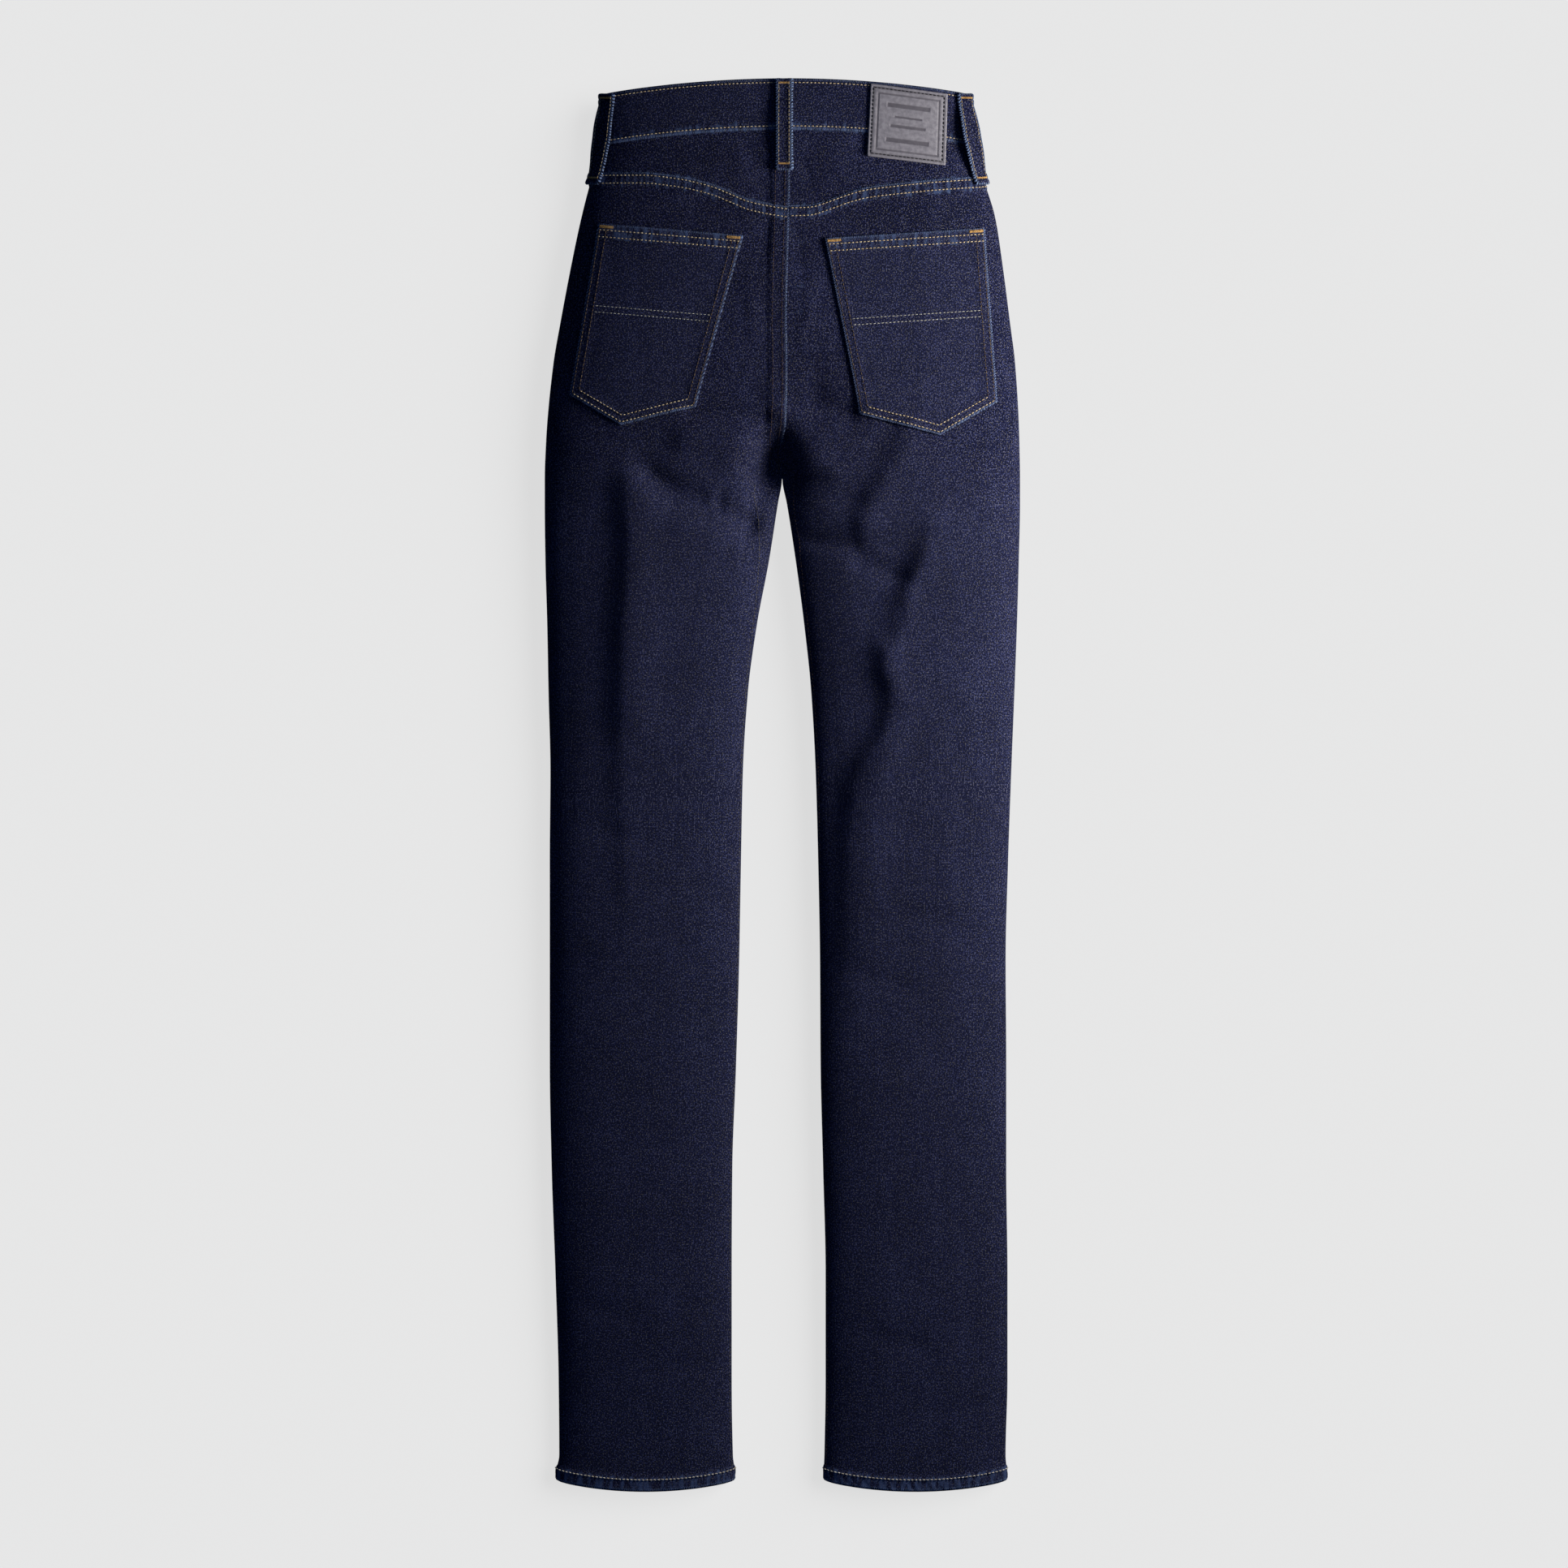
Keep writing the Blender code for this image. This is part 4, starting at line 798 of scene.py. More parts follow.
BACK_COLUMNS = shares(EDGE_COLUMNS, 116, EDGE_COLUMNS[::-1])
LAP_ROWS = [0.0, 0.6, 1.3, 2.2, 3.4, 4.8, 6.2, 7.6, 8.8]
LAP_ROWS += [LAP_DEPTH, LAP_DEPTH + 0.5 * STEP, LAP_DEPTH + STEP]
HEM_ROWS = [16.0, 13.0, HEM_DEPTH + STEP, HEM_DEPTH, 7.4, 5.6, 4.0, 2.6, 1.4, 0.6, 0.0]
LEG_TOP = 446.0                # rows are level from here
LEG_FOOT = -536.0              # down to here
LEG_LEVELS = np.concatenate((
    np.linspace(LEG_TOP, JUNCTION, 59),
    np.linspace(JUNCTION, CROTCH, 12)[1:],
    np.linspace(CROTCH, LEG_FOOT, 262)[1:],
))
LEG_FELL_FOOT = CROTCH + 14.0  # the centre seam's fell ends here
PUCKER = 5.2                   # a seam draws the denim up about this often
LAP_PUCKER = 0.22              # and by this much along the yoke seam
FELL_PUCKER = 0.16             # and along the centre seam
HEM_RAISE = 0.6                # the turned hem stands this much proud
HEM_ROPE = 0.3                 # and washing twists it into slanting ropes this high
ROPE_PITCH = 7.0
WORN = 0.13                    # how strongly rubbed cloth shows pale
WORN_FROM = 310.0              # the thighs are rubbed from this level
WORN_FADE = 120.0              # and fully so this far below it


def rows_of_back(half, level):
    """Distances round the ring of a back leg's or yoke's columns."""
    start = inseam(half, level) + HALF_GAP * (level < JUNCTION)
    return spread(BACK_COLUMNS, start, outseam(half, level) - HALF_GAP)


def turned_up(half, distance, level):
    """1 on the turned hem, falling to 0 over one step above it."""
    return near(level - hem(half, distance) - HEM_DEPTH, STEP)


def hem_raise(half, distance, level):
    """How far the turned hem stands off the skin, with its ropes."""
    roped = HEM_ROPE * bumps(distance + 0.8 * level, ROPE_PITCH, 3.0)
    return turned_up(half, distance, level) * (HEM_RAISE + roped)


def back_raise(half, distance, level):
    """How far the back leg's face stands off the skin: lap, fell and hem, with puckers."""
    lap = near(yoke_seam(half, distance) - level - LAP_DEPTH, STEP)
    fell = near(distance - FELL_WIDTH, STEP) * (half.side < 0) * (level > LEG_FELL_FOOT)
    drawn = LAP_PUCKER * lap * bumps(distance, PUCKER, 1.0)
    drawn = drawn + FELL_PUCKER * fell * bumps(level, PUCKER, 2.0)
    return LAP_RAISE * np.maximum(lap, fell) + drawn + hem_raise(half, distance, level)


def on_cloth(half, raise_by, distance, level):
    """Points and normals on a piece's face, where raise_by is how far it stands off the skin."""
    distance, level = np.broadcast_arrays(distance, level)
    points, normals = half.at(distance, level)
    return pressed_flat(points + normals * raise_by(half, distance, level)[..., None]), normals


def row_on(half, raise_by, distance, level):
    """A row of stitches on a piece's face."""
    return stitches(*on_cloth(half, raise_by, distance, level))


LAP_ROW_DEPTHS = (2.0, 8.3)    # rows of stitches below the yoke seam
FELL_ROW_PLACES = (3.4, 11.0)  # and beside the centre seam
HEM_ROW = 8.0                  # above the hem's edge
INSEAM_ROW = 1.8
SEAT_FOOT = 252.0              # the centre seam's rows end here


def leg_thickness(half, distance, level):
    """One layer of denim, and the turned hem's layers near the foot."""
    return WALL + (HEM_WALL - WALL + HEM_RAISE) * turned_up(half, distance, level)


def rubbed_below(level):
    """The thighs and all below are rinsed a little paler than the seat."""
    return WORN * ease((WORN_FROM - level) / WORN_FADE)


def cloth_map(half, distance, level, shift):
    """The cloth map: along the weft, kept left to right when seen from above, and the warp."""
    return np.stack((half.side * distance + shift, level + 0.37 * shift), axis=-1)


for word, half in HALVES:
    seam = yoke_seam(half, rows_of_back(half, YOKE_LEVEL)) - HALF_GAP
    foot = hem(half, rows_of_back(half, HEM_SIDE))
    rows = [seam - depth for depth in LAP_ROWS]
    rows += [rows[-1] + (LEG_TOP - rows[-1]) * share for share in (0.2, 0.4, 0.6, 0.8)]
    rows += [np.full_like(foot, level) for level in LEG_LEVELS]
    rows += [foot + rise for rise in HEM_ROWS]
    level = np.array(rows)
    distance = rows_of_back(half, level)
    points, normals = half.at(distance, level)
    points = points + normals * back_raise(half, distance, level)[..., None]
    depth = yoke_seam(half, distance) - level
    hem_depth = level - hem(half, distance)
    sewn = marks(
        level.shape,
        level_pucker=0.8 * near(depth - LAP_DEPTH, 7.0) + 0.9 * near(hem_depth - HEM_DEPTH, 5.0),
        upright_pucker=0.55 * near(distance - FELL_WIDTH, 3.0) * (level > CROTCH),
        folded=np.maximum(
            0.7 * np.maximum(near(depth, 1.2), near(hem_depth, 1.2)),
            0.6 * near(distance, 1.3) * (level > CROTCH + 20.0) * (half.side < 0),
        ),
        rubbed=rubbed_below(level),
    )
    piece = panel(
        f"back_leg_{word}", points, normals, leg_thickness(half, distance, level),
        cloth_map(half, distance, level, 11.0), sewn,
    )

    run = np.linspace(1.0, rows_of_back(half, YOKE_LEVEL)[-1] - 1.0, 300)
    gold = [row_on(half, back_raise, run, yoke_seam(half, run) - down) for down in LAP_ROW_DEPTHS]
    round_hem = rows_of_back(half, HEM_SIDE)
    hem_row = row_on(half, back_raise, round_hem, hem(half, round_hem) + HEM_ROW)
    threads = [sew(f"back_leg_{word}_gold_rows", gold, GOLD_THREAD)]
    threads.append(sew(f"back_leg_{word}_hem_row", [hem_row], HEM_THREAD, HEM_THREAD_RADIUS))
    fall = np.linspace(CROTCH - 4.0, LEG_FOOT - 14.0, 900)
    beside = inseam(half, fall) + HALF_GAP + INSEAM_ROW
    inseam_row = row_on(half, back_raise, beside, fall)
    # The right leg's inseam row lies in the shade between the legs, so it is drawn in dark brown thread as
    # painted shade; the left one is a dull cream.
    dull = DULL_THREAD if half.side < 0 else BROWN_THREAD
    threads.append(sew(f"back_leg_{word}_inseam_row", [inseam_row], dull, INSEAM_THREAD_RADIUS))
    if half.side < 0:
        fall = np.linspace(yoke_seam(half, 0.0) - 0.8, SEAT_FOOT, 300)
        brown = [row_on(half, back_raise, place, fall) for place in FELL_ROW_PLACES]
        threads.append(sew("back_leg_left_centre_rows", brown, BROWN_THREAD, FINE_THREAD_RADIUS))
    lay_flat([(distance, level)])


# The two yokes, of the same twill: shaped bands between the waistband and the back legs.
# Their lower edges are felled under the legs', and the left one over the right.
BAND_TOP = 564.5               # top edge of the waistband at the centre back
BAND_DIP = 12.5                # it falls by this much to the sides
BAND_HEIGHT = 39.5
BAND_FOOT_LEVEL = 515.0
YOKE_SHARES = np.concatenate(([0.0, 0.02, 0.05], np.linspace(0.1, 0.94, 22), [0.97, 1.0]))


def band_edge(half, distance):
    """Level of the waistband's top edge: it dips from the back to the sides and on to the front."""
    level = BAND_TOP - BAND_DIP
    side = half.to_side(level)
    back = BAND_TOP - BAND_DIP * (np.minimum(distance, side) / side) ** 2
    left_over = np.clip((distance - side) / (half.round_length(level) - side), 0.0, 1.0)
    return back - BAND_DIP * (1.0 - (1.0 - left_over) ** 2)


def under_band(half, distance):
    """Level of the cut edges that meet the waistband's foot."""
    return band_edge(half, distance) - BAND_HEIGHT - HALF_GAP


def yoke_raise(half, distance, level):
    """The left yoke's fell at the centre back, with its puckers."""
    fell = near(distance - FELL_WIDTH, STEP) * (half.side < 0)
    return fell * (LAP_RAISE + FELL_PUCKER * bumps(level, PUCKER, 2.0))


for word, half in HALVES:
    foot = yoke_seam(half, rows_of_back(half, YOKE_LEVEL)) + HALF_GAP
    top = under_band(half, rows_of_back(half, BAND_FOOT_LEVEL))
    level = np.array([top + (foot - top) * share for share in YOKE_SHARES])
    distance = rows_of_back(half, level)
    points, normals = half.at(distance, level)
    points = points + normals * yoke_raise(half, distance, level)[..., None]
    sewn = marks(
        level.shape,
        level_pucker=0.8 * near(level - foot, 6.0) + 0.8 * near(top - level, 6.0),
        upright_pucker=0.55 * near(distance - FELL_WIDTH, 3.0),
        folded=0.6 * near(distance, 1.3) * (half.side < 0),
    )
    flat_map = cloth_map(half, distance, level, 53.0)
    piece = panel(f"yoke_{word}", points, normals, WALL, flat_map, sewn)
    threads = []
    if half.side < 0:
        fall = np.linspace(top[0] - 0.5, foot[0] + 0.5, 80)
        brown = [row_on(half, yoke_raise, place, fall) for place in FELL_ROW_PLACES]
        threads.append(sew("yoke_left_centre_rows", brown, BROWN_THREAD, FINE_THREAD_RADIUS))
    lay_flat([(distance, level)])


# The two front legs, of the same twill: the floor side of the garment. Each goes on round
# the inner edge of its leg to the inseam, which lies on top. The left one laps over the
# right one at the fly. Their upper outer corners are cut away for the front pockets.
FLY_LAP = 6.0                  # the left front laps this far past the centre
FLY_TUCK = 1.9                 # the right front is tucked this much inwards there
TUCK_FLAT = 16.0               # full tuck within this distance of the centre
TUCK_WIDTH = 30.0
FLY_FOOT = (372.0, 356.0)      # the lap narrows to nothing between these levels
TUCK_FOOT = (352.0, 318.0)
MOUTH_WIDTH = 95.0             # front pocket mouth, from the side seam
MOUTH_DROP = 74.0
FORK_CLEAR = 0.6               # more room at the inseam near the fork
FRONT_COLUMNS = shares(
    [0.0, 1.5, 4.0, 9.0, 16.0, 25.0, 36.0, 48.0, 60.0, 71.0, 80.0, 87.0, 92.0, 94.5, MOUTH_WIDTH],
    56, [6.0, 3.0, 1.2, 0.0],
)
STRIP_SHARES = np.array([0.0, 0.12, 0.25, 0.38, 0.5, 0.62, 0.75, 0.87, 0.95, 1.0])
FRONT_LEVELS = np.concatenate((
    np.linspace(408.0, JUNCTION, 46),
    np.linspace(JUNCTION, CROTCH, 12)[1:],
    np.linspace(CROTCH, LEG_FOOT, 196)[1:],
))


def tuck(half, distance, level, depth, foot):
    """How far the right half is pushed inwards near the centre front, under the left half."""
    from_centre = half.round_length(level) - distance
    across = 1.0 - ease((from_centre - TUCK_FLAT) / (TUCK_WIDTH - TUCK_FLAT))
    down = ease((level - foot[1]) / (foot[0] - foot[1]))
    return depth * across * down if half.side > 0 else np.zeros_like(distance)


def rows_of_front(half, level):
    """Distances round the ring of a front leg's columns, from the side seam to the fly."""
    lap = FLY_LAP * ease((level - FLY_FOOT[1]) / (FLY_FOOT[0] - FLY_FOOT[1]))
    end = half.round_length(level) + np.where(half.side < 0, lap, 0.0)
    return spread(FRONT_COLUMNS, outseam(half, level) + HALF_GAP, end)


MOUTH_ROWS = (2.0, 8.5)        # rows of stitches round the pocket mouth
FLY_ROWS = (34.0, 40.0)        # and round the fly, from the centre
FLY_TOP = 508.0                # they start here
FLY_ROW_LEVEL = 392.0          # and curve to the centre below this


def front_raise(half, distance, level):
    """The turned hem, and on the right front the tuck under the fly."""
    tucked = tuck(half, distance, level, FLY_TUCK, TUCK_FOOT)
    return hem_raise(half, distance, level) - tucked


for word, half in HALVES:
    at_top = rows_of_front(half, BAND_FOOT_LEVEL)
    at_hem = rows_of_front(half, HEM_SIDE)
    across = np.clip((at_top - at_top[0]) / MOUTH_WIDTH, 0.0, 1.0)
    top = under_band(half, at_top) - MOUTH_DROP * np.sqrt(1.0 - across * across)
    foot = hem(half, at_hem)
    down = np.concatenate(([0.0, 0.01, 0.03], np.linspace(0.06, 1.0, 26)[:-1]))
    rows = [top + (FRONT_LEVELS[0] - top) * share for share in down]
    rows += [np.full_like(top, level) for level in FRONT_LEVELS]
    rows += [foot + rise for rise in HEM_ROWS]
    level = np.array(rows)
    distance = rows_of_front(half, level)

    # The strip round the inner edge: it starts at the junction and meets the panel below
    # the crotch.
    first = len(down) + int(np.argmin(np.abs(FRONT_LEVELS - JUNCTION)))
    crotch = len(down) + int(np.argmin(np.abs(FRONT_LEVELS - CROTCH)))
    strip_level = np.repeat(level[first:, -1:], len(STRIP_SHARES), axis=1)
    strip_level[0] = JUNCTION - 1.0
    width = inseam(half, strip_level) - HALF_GAP - FORK_CLEAR * (strip_level > CROTCH + 5.0)
    strip = width * STRIP_SHARES + np.where(strip_level > CROTCH, 0.0, half.round_length(strip_level))
    foot = hem(half, (width * STRIP_SHARES)[-1])
    strip_level[-len(HEM_ROWS):] = foot + np.array(HEM_ROWS)[:, None]

    all_level = np.concatenate((level.ravel(), strip_level.ravel()))
    all_distance = np.concatenate((distance.ravel(), strip.ravel()))
    points, normals = half.at(all_distance, all_level)
    points = points + normals * front_raise(half, all_distance, all_level)[:, None]
    # Below the crotch the strip's first column is the panel's last one.
    index = np.arange(level.size).reshape(level.shape)
    strip_index = level.size + np.arange(strip_level.size).reshape(strip_level.shape)
    strip_index[crotch - first:, 0] = index[crotch:, -1]
    faces = np.concatenate((cells(index), cells(strip_index)))
    used, faces = np.unique(faces, return_inverse=True)
    faces = faces.reshape(-1, 4)
    hem_depth = all_level - hem(half, all_distance)
    sewn = marks(
        all_level.shape, level_pucker=0.9 * near(hem_depth - HEM_DEPTH, 5.0),
        folded=0.7 * near(hem_depth, 1.2), rubbed=rubbed_below(all_level),
    )
    thick = leg_thickness(half, all_distance, all_level)
    flat_map = cloth_map(half, all_distance, all_level, 97.0)
    piece = panel(
        f"front_leg_{word}", points[used], normals[used], thick[used], flat_map[used],
        sewn[used], faces=faces,
    )

    round_hem = np.linspace(at_hem[0], at_hem[-1] + width[-1, 0], 400)
    hem_row = row_on(half, front_raise, round_hem, hem(half, round_hem) + HEM_ROW)
    gold = []
    swing = np.linspace(0.03, 0.5 * np.pi - 0.03, 120)
    for inset in MOUTH_ROWS:
        offset = (MOUTH_WIDTH + inset) * np.cos(swing)
        band_foot = band_edge(half, at_top[0] + offset) - BAND_HEIGHT
        fall = band_foot - (MOUTH_DROP + inset) * np.sin(swing)
        place = outseam(half, fall) + HALF_GAP + offset
        gold.append(row_on(half, front_raise, place, fall))
    for from_centre in FLY_ROWS:
        if half.side < 0:
            bend = np.linspace(0.0, 0.5 * np.pi, 60)
            back = np.concatenate((np.full(60, from_centre), from_centre * np.cos(bend)))
            fall = np.concatenate((
                np.linspace(FLY_TOP, FLY_ROW_LEVEL, 60), FLY_ROW_LEVEL - from_centre * np.sin(bend),
            ))
            gold.append(row_on(half, front_raise, half.round_length(fall) - back, fall))
    threads = [
        sew(f"front_leg_{word}_gold_rows", gold, GOLD_THREAD),
        sew(f"front_leg_{word}_hem_row", [hem_row], HEM_THREAD, HEM_THREAD_RADIUS),
    ]
    lay_flat([(distance, level), (width * STRIP_SHARES, strip_level)])


# The facings: the twill that shows in the mouths of the front pockets, one wall further in.
# They run on a little behind the mouths.
FACING_UNDER = 16.0            # the facing runs on behind the mouth
FACING_WALL = 1.2
FACING_OFFSETS = np.linspace(0.0, MOUTH_WIDTH + FACING_UNDER - 2.0, 44)

for word, half in HALVES:
    at_top = outseam(half, BAND_FOOT_LEVEL) + HALF_GAP + FACING_OFFSETS
    across = FACING_OFFSETS / (MOUTH_WIDTH + FACING_UNDER)
    top = under_band(half, at_top)
    foot = top - (MOUTH_DROP + FACING_UNDER) * np.sqrt(1.0 - across * across)
    level = np.array([top + (foot - top) * share for share in np.linspace(0.0, 1.0, 40)])
    distance = outseam(half, level) + HALF_GAP + FACING_OFFSETS
    points, normals = half.at(distance, level)
    pushed = tuck(half, distance, level, FLY_TUCK, TUCK_FOOT)
    points = points - normals * (WALL + SEAM_GAP + pushed[..., None])
    piece = panel(
        f"front_pocket_facing_{word}", points, normals, FACING_WALL,
        cloth_map(half, distance, level, 131.0), marks(level.shape),
    )
    lay_flat([(distance, level)])


# The back pockets: five-sided patches of twill with a double-turned top hem and pressed-in
# edges, sewn down with two rows and tacked with a bar at each upper corner.
LAID_CLEAR = 0.45              # between what is sewn on a panel and the panel
POCKET_WALL = 1.4
TURN_IN = 8.0                  # the pocket's pressed-in edges
EDGE_ROPE = 0.75               # how strongly their twill lines show
TOP_HEM = 11.0
# Corners seen from above: top left, foot left, point, foot right, top right.
POCKETS = {
    "left": ((-146.5, 448.5), (-169.5, 312.5), (-129.2, 288.5), (-70.0, 303.3), (-32.2, 438.8)),
    "right": ((34.6, 436.5), (62.7, 297.0), (126.1, 280.4), (171.2, 306.8), (160.8, 445.0)),
}


def from_above(x, y):
    """Points and normals of the top of the garment, found by their place seen from above."""
    def height(px, py):
        on_left = px < along(OUTLINE, 2, py)
        left = LEFT.top(LEFT.across(px, py), px, py)
        right = RIGHT.top(RIGHT.across(px, py), px, py)
        return np.where(on_left, left, right)

    reach = 0.5
    slope_x = (height(x + reach, y) - height(x - reach, y)) / (2.0 * reach)
    slope_y = (height(x, y + reach) - height(x, y - reach)) / (2.0 * reach)
    normals = np.stack((-slope_x, -slope_y, np.ones_like(slope_x)), axis=-1)
    normals /= np.linalg.norm(normals, axis=-1, keepdims=True)
    return np.stack((x, y, height(x, y)), axis=-1), normals


def to_line(x, y, start, end):
    """Distance from the line through two points, to its left when going from start to end."""
    run_x = end[0] - start[0]
    run_y = end[1] - start[1]
    return (run_x * (y - start[1]) - run_y * (x - start[0])) / np.hypot(run_x, run_y)


def pocket_edges(corners, x, y):
    """Distances in from the sewn edges (the least of the four) and from the top edge."""
    lines = [to_line(x, y, a, b) for a, b in zip(corners, corners[1:])]
    return np.minimum.reduce(lines), to_line(x, y, corners[-1], corners[0])


TOP_ROWS = (4.2, 9.7)          # rows of stitches below the top edge
EDGE_ROWS = (1.8, 6.8)         # and inside the sewn edges
PLAIN_ROWS = (65.0, 70.0)      # two plain rows across the middle, below the top edge
TOP_ROW_IN = 0.6               # the top rows end this far inside the sewn edges
TACK_BELOW = 1.5               # the bar tacks' middle, below the top edge
TACK_IN = 1.2                  # and their outer ends, inside the sewn edges
TACK_LENGTH = 10.5
TACK_HEIGHT = 2.6
SIDE_THREAD = sewing_thread("bronze_thread", "#54422f", "#8f7452")


def meet(a, b, c, d):
    """Where the line through a and b crosses the line through c and d."""
    ab = b - a
    cd = d - c
    share = ((c[0] - a[0]) * cd[1] - (c[1] - a[1]) * cd[0]) / (ab[0] * cd[1] - ab[1] * cd[0])
    return a + ab * share


def moved_in(a, b, depth):
    """The line from a to b moved to its left by a depth, as two points."""
    ahead = (b - a) / np.hypot(*(b - a))
    away = depth * np.array((-ahead[1], ahead[0]))
    return a + away, b + away


def pocket_run(corners, inside, below):
    """Corners of the line that lies inside the sewn edges and ends below the top edge."""
    lines = [moved_in(a, b, inside) for a, b in zip(corners, corners[1:])]
    top = moved_in(corners[-1], corners[0], below)
    return np.array(
        [meet(*top, *lines[0])] + [meet(*a, *b) for a, b in zip(lines, lines[1:])]
        + [meet(*lines[-1], *top)],
    )


def pocket_row(corners, ends, tack=0.0):
    """Stitches, or a bar tack of that height, along a straight line on the pocket's face."""
    x, y = np.linspace(*ends, 90).T
    points, normals = from_above(x, y)
    points = points + normals * pocket_raise(corners, x, y)[..., None]
    return bar_tack(points, normals, tack) if tack else stitches(points, normals)


def pocket_raise(corners, x, y):
    """How far the pocket's face stands off the skin: thicker where its edges are turned in."""
    sewn_in, top_in = pocket_edges(corners, x, y)
    turned = near(sewn_in - TURN_IN, 2.0)
    hemmed = near(top_in - TOP_HEM, 2.0)
    drawn = 0.12 * hemmed * bumps(x, PUCKER, 5.0) + 0.10 * turned * bumps(x + y, PUCKER, 4.0)
    return LAID_CLEAR + POCKET_WALL + 0.3 * turned + 0.45 * hemmed + drawn


ACROSS = np.concatenate(([0.0, 0.006, 0.015], np.linspace(0.03, 0.97, 72), [0.985, 0.994, 1.0]))
DOWN = np.concatenate(([0.0, 0.006, 0.015], np.linspace(0.03, 0.97, 84), [0.985, 0.994, 1.0]))

for word, half in HALVES:
    corners = np.array(POCKETS[word])
    # Lines run from the top edge to the foot, whose point lies at its own share of the way.
    point_at = np.hypot(*(corners[2] - corners[1]))
    point_at = point_at / (point_at + np.hypot(*(corners[3] - corners[2])))
    column = np.sort(np.append(ACROSS, point_at))
    top = corners[0] + (corners[4] - corners[0]) * column[:, None]
    foot_x = np.interp(column, (0.0, point_at, 1.0), corners[1:4, 0])
    foot_y = np.interp(column, (0.0, point_at, 1.0), corners[1:4, 1])
    x = top[:, 0] + (foot_x - top[:, 0]) * DOWN[:, None]
    y = top[:, 1] + (foot_y - top[:, 1]) * DOWN[:, None]
    points, normals = from_above(x, y)
    raised = pocket_raise(corners, x, y)
    sewn_in, top_in = pocket_edges(corners, x, y)
    foot_lines = [to_line(x, y, a, b) for a, b in zip(corners[1:], corners[2:4])]
    sewn = marks(
        x.shape,
        level_pucker=np.maximum(
            0.8 * near(top_in - TOP_HEM, 3.0), 0.75 * near(np.minimum.reduce(foot_lines), 9.0),
        ),
        upright_pucker=0.35 * near(sewn_in - TURN_IN, 4.0), rubbed=0.8 * WORN,
        folded=np.maximum(EDGE_ROPE * near(sewn_in, 1.3), 0.5 * near(top_in, 1.3)),
    )
    piece = panel(
        f"back_pocket_{word}", points + normals * raised[..., None], normals,
        raised - LAID_CLEAR, np.stack((x + 7.3, y + 2.9), axis=-1), sewn,
    )

    gold = []
    bronze = []
    for below in TOP_ROWS:
        run = pocket_run(corners, TOP_ROW_IN, below)
        gold.append(pocket_row(corners, (run[0], run[-1])))
    for inside in EDGE_ROWS:
        run = pocket_run(corners, inside, TOP_ROWS[0])
        gold += [pocket_row(corners, ends) for ends in zip(run[1:], run[2:4])]
        bronze += [pocket_row(corners, run[:2]), pocket_row(corners, run[3:])]
    cream = []
    for below in PLAIN_ROWS:
        run = pocket_run(corners, EDGE_ROWS[1] + 0.8, below)
        cream.append(pocket_row(corners, (run[0], run[-1])))
    run = pocket_run(corners, TACK_IN, TACK_BELOW)
    ahead = (run[-1] - run[0]) / np.hypot(*(run[-1] - run[0]))
    tacks = [
        pocket_row(corners, (run[0], run[0] + ahead * TACK_LENGTH), TACK_HEIGHT),
        pocket_row(corners, (run[-1] - ahead * TACK_LENGTH, run[-1]), TACK_HEIGHT),
    ]
    threads = [
        sew(f"back_pocket_{word}_gold_rows", gold, GOLD_THREAD),
        sew(f"back_pocket_{word}_side_rows", bronze, SIDE_THREAD, FINE_THREAD_RADIUS),
        sew(f"back_pocket_{word}_plain_rows", cream, CREAM_THREAD, FINE_THREAD_RADIUS),
        sew(f"back_pocket_{word}_bar_tacks", tacks, TACK_THREAD),
    ]
    lay_flat([(x, y)])


# The waistband: one strip of twill folded along its top edge, sewn on with one row along
# the top and one along the foot. Its left end laps over the right one at the centre front.
BAND_RAISE = 0.9               # the waistband stands this much proud of the yokes
BAND_LEVEL = 540.0
BAND_TURN = 60.0               # past the side by this, its columns keep step with the front
BAND_TUCK = 2.8
UNDERLAP = 32.0                # the waistband's right end runs on under the left one
BAND_SHARES = np.concatenate((
    [0.0, 0.015, 0.04, 0.08], np.linspace(0.12, 0.9, 20), [0.94, 0.97, 0.99, 1.0],
))


def band_raise(half, distance, level):
    """The waistband's face: puckers drawn up by both rows, most along the foot."""
    rise = level - band_edge(half, distance) + BAND_HEIGHT
    low = near(rise - 6.0, 8.0)
    high = near(BAND_HEIGHT - rise - 4.0, 5.0)
    drawn = (0.2 * low + 0.12 * high) * bumps(distance, PUCKER, 6.0)
    return BAND_RAISE + drawn - tuck(half, distance, level, BAND_TUCK, TUCK_FOOT)


def band_place(half, at, level):
    """Distance round at a level, for a place along the band: columns keep step with the side
    and, past it, with the front."""
    shift = half.round_length(level) - half.round_length(BAND_LEVEL)
    side_shift = half.to_side(level) - half.to_side(BAND_LEVEL)
    turn = ease((at - half.to_side(BAND_LEVEL)) / BAND_TURN)
    return at + side_shift + (shift - side_shift) * turn


